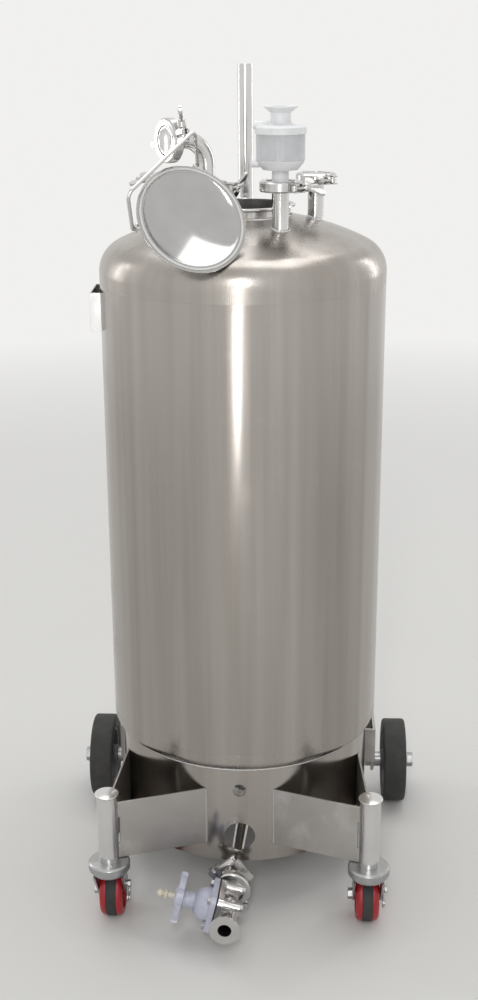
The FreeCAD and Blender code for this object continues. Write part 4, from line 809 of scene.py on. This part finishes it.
def ribbedTube(name, s, low, high):  # a moulded wall whose outside has shallow upright ribs
    steps = s["ribs"] * s["stepsPerRib"]
    made = bmesh.new()
    rows = []
    wall, end, full = s["wall"], s["ribEnd"], s["ribFull"]
    levels = ((s["inner"], low, 0), (wall, low, 0), (wall, low + end, 0), (wall, low + full, 1),
              (wall, high - full, 1), (wall, high - end, 0), (wall, high, 0), (s["inner"], high, 0))
    for radius, z, ribbed in levels:
        row = []
        for angle in turns(steps):
            dip = ribbed * s["ribDepth"] * (0.5 - 0.5 * math.cos(s["ribs"] * angle))
            point = Vector((math.cos(angle) * (radius - dip), math.sin(angle) * (radius - dip), z))
            row.append(made.verts.new(overFilter(0) @ (point * mm)))
        rows.append(row)
    for row, other in zip(rows, rows[1:] + rows[:1]):
        for k in range(steps):
            j = (k + 1) % steps
            made.faces.new((row[k], row[j], other[j], other[k]))
    bmesh.ops.recalc_face_normals(made, faces=made.faces)
    piece = finished(name, made)
    smooth(piece, 50)
    return piece


capsuleSide = ribbedTube("capsuleWall", capsule, capsuleTop - capsule["height"], capsuleTop)
dress(capsuleSide, "tank", capsuleWall, "filter_plastic")
print("filter made")

# Everything else is the CAD solid with softened edges, in its own finish

softening = {"handwheel": 1.6, "valve_body": 1.0, "valve_bonnet": 1.2, "clamp_jaws": 0.9, "bail": 0.0,
             "outlet_pipe": 0.25, "elbow": 0.25, "port_tubes": 0.25, "riser_tube": 0.2, "gaskets": 0.2,
             "left_arm": 0.35, "right_arm": 0.35, "rear_arms": 0.5, "left_rear_tyre": 2.0,
             "right_rear_tyre": 2.0, "filter_cap": 0.8, "leg_caps": 0.7, "clampScrews": 0.7, "other": 0.45}
ownFinish = {"left_arm": finishes["brushed_steel"], "right_arm": finishes["brushed_steel"]}
redrawn = {"shell", "top_head", "bottom_cone", "skirt", "lid", "filter_body"}
for node in sorted(set(nodes) - redrawn):
    kind = "clampScrews" if node.endswith(("_clamp_bolt", "_clamp_nut")) else "other"
    copy = cadCopy(node, softening.get(node, softening[kind]))
    dress(copy, bodyOf[node], ownFinish.get(node, finishes[slotOf[node]]), slotOf[node], node)
print("fittings made")

# Floor, light and surroundings


colours = {"surroundings": (0.88, 0.875, 0.86, 1), "fill": (0.50, 0.50, 0.50, 1),
           "floor": (0.74, 0.735, 0.715, 1), "none": (0, 0, 0, 1)}
stageSizes = {"radius": 60.0, "sides": 96, "fadeFrom": 1.0, "fadeTo": 4.5}  # metres


def seenRays(graph):  # the camera, metal and glass all look at the same pale background
    ray = graph.node("ShaderNodeLightPath")
    kinds = ("Camera", "Glossy", "Transmission")
    return sum(Value(graph.tree, ray.outputs["Is %s Ray" % kind]) for kind in kinds)


def stageFinish(name, paint):  # one plain colour, running out into the surroundings alike on every side
    finish = Finish(name, Roughness=0.9, Specular_IOR_Level=0.0, Emission_Strength=1.0)
    reach = finish.node("ShaderNodeVectorMath", {"operation": "LENGTH"}, Vector=finish.position())
    distance = Value(finish.tree, reach.outputs["Value"])
    away = finish.mask(distance, stageSizes["fadeFrom"], stageSizes["fadeTo"]) * seenRays(finish)
    finish.set("Base Color", finish.blend(away, paint, colours["none"]))
    finish.set("Emission Color", finish.blend(away, colours["none"], colours["surroundings"]))
    return finish.material


corners = [(stageSizes["radius"] * math.cos(a), stageSizes["radius"] * math.sin(a), 0.0)
           for a in turns(stageSizes["sides"])]
floor = meshPiece("floor", corners, [tuple(range(stageSizes["sides"]))])
floor.data.materials.append(stageFinish("floorPaint", colours["floor"]))

world = bpy.data.worlds.new("studio")
world.use_nodes = True
bpy.context.scene.world = world
sky = Graph(world.node_tree)
backdrop = world.node_tree.nodes["Background"]
shade = sky.node("ShaderNodeMix", {"data_type": "RGBA"})
sky.feed(shade.inputs[0], seenRays(sky))
shade.inputs[6].default_value = colours["fill"]
shade.inputs[7].default_value = colours["surroundings"]
sky.feed(backdrop.inputs["Color"], shade.outputs[2])
backdrop.inputs["Strength"].default_value = 1.0


lamps = {  # place, what it points at, width, height, watts
    "overhead": ((0.0, 0.6, 3.2), (0, 0.4, 0), 2.5, 2.3, 34),
    "leftStrip": ((-2.4, 0.9, 1.5), (0, 0, 0.7), 0.14, 1.6, 7),
    "rightStrip": ((2.2, 1.6, 1.5), (0, 0, 0.7), 0.14, 1.6, 7),
    "frontStrip": ((-0.1, -2.9, 0.8), (0, 0, 0.8), 0.12, 1.5, 9),
    "frontTop": ((0.0, -2.6, 2.2), (0, 0, 0.9), 0.35, 1.0, 18),
}
for name, (place, target, width, height, power) in lamps.items():
    lamp = bpy.data.lights.new(name, "AREA")
    lamp.shape = "RECTANGLE"
    lamp.size, lamp.size_y = width, height
    lamp.energy = power
    holder = placed(name, lamp)
    holder.location = place
    holder.rotation_euler = (Vector(target) - Vector(place)).to_track_quat("-Z", "Y").to_euler()
bpy.context.scene.view_settings.view_transform = "Standard"
print("stage set")
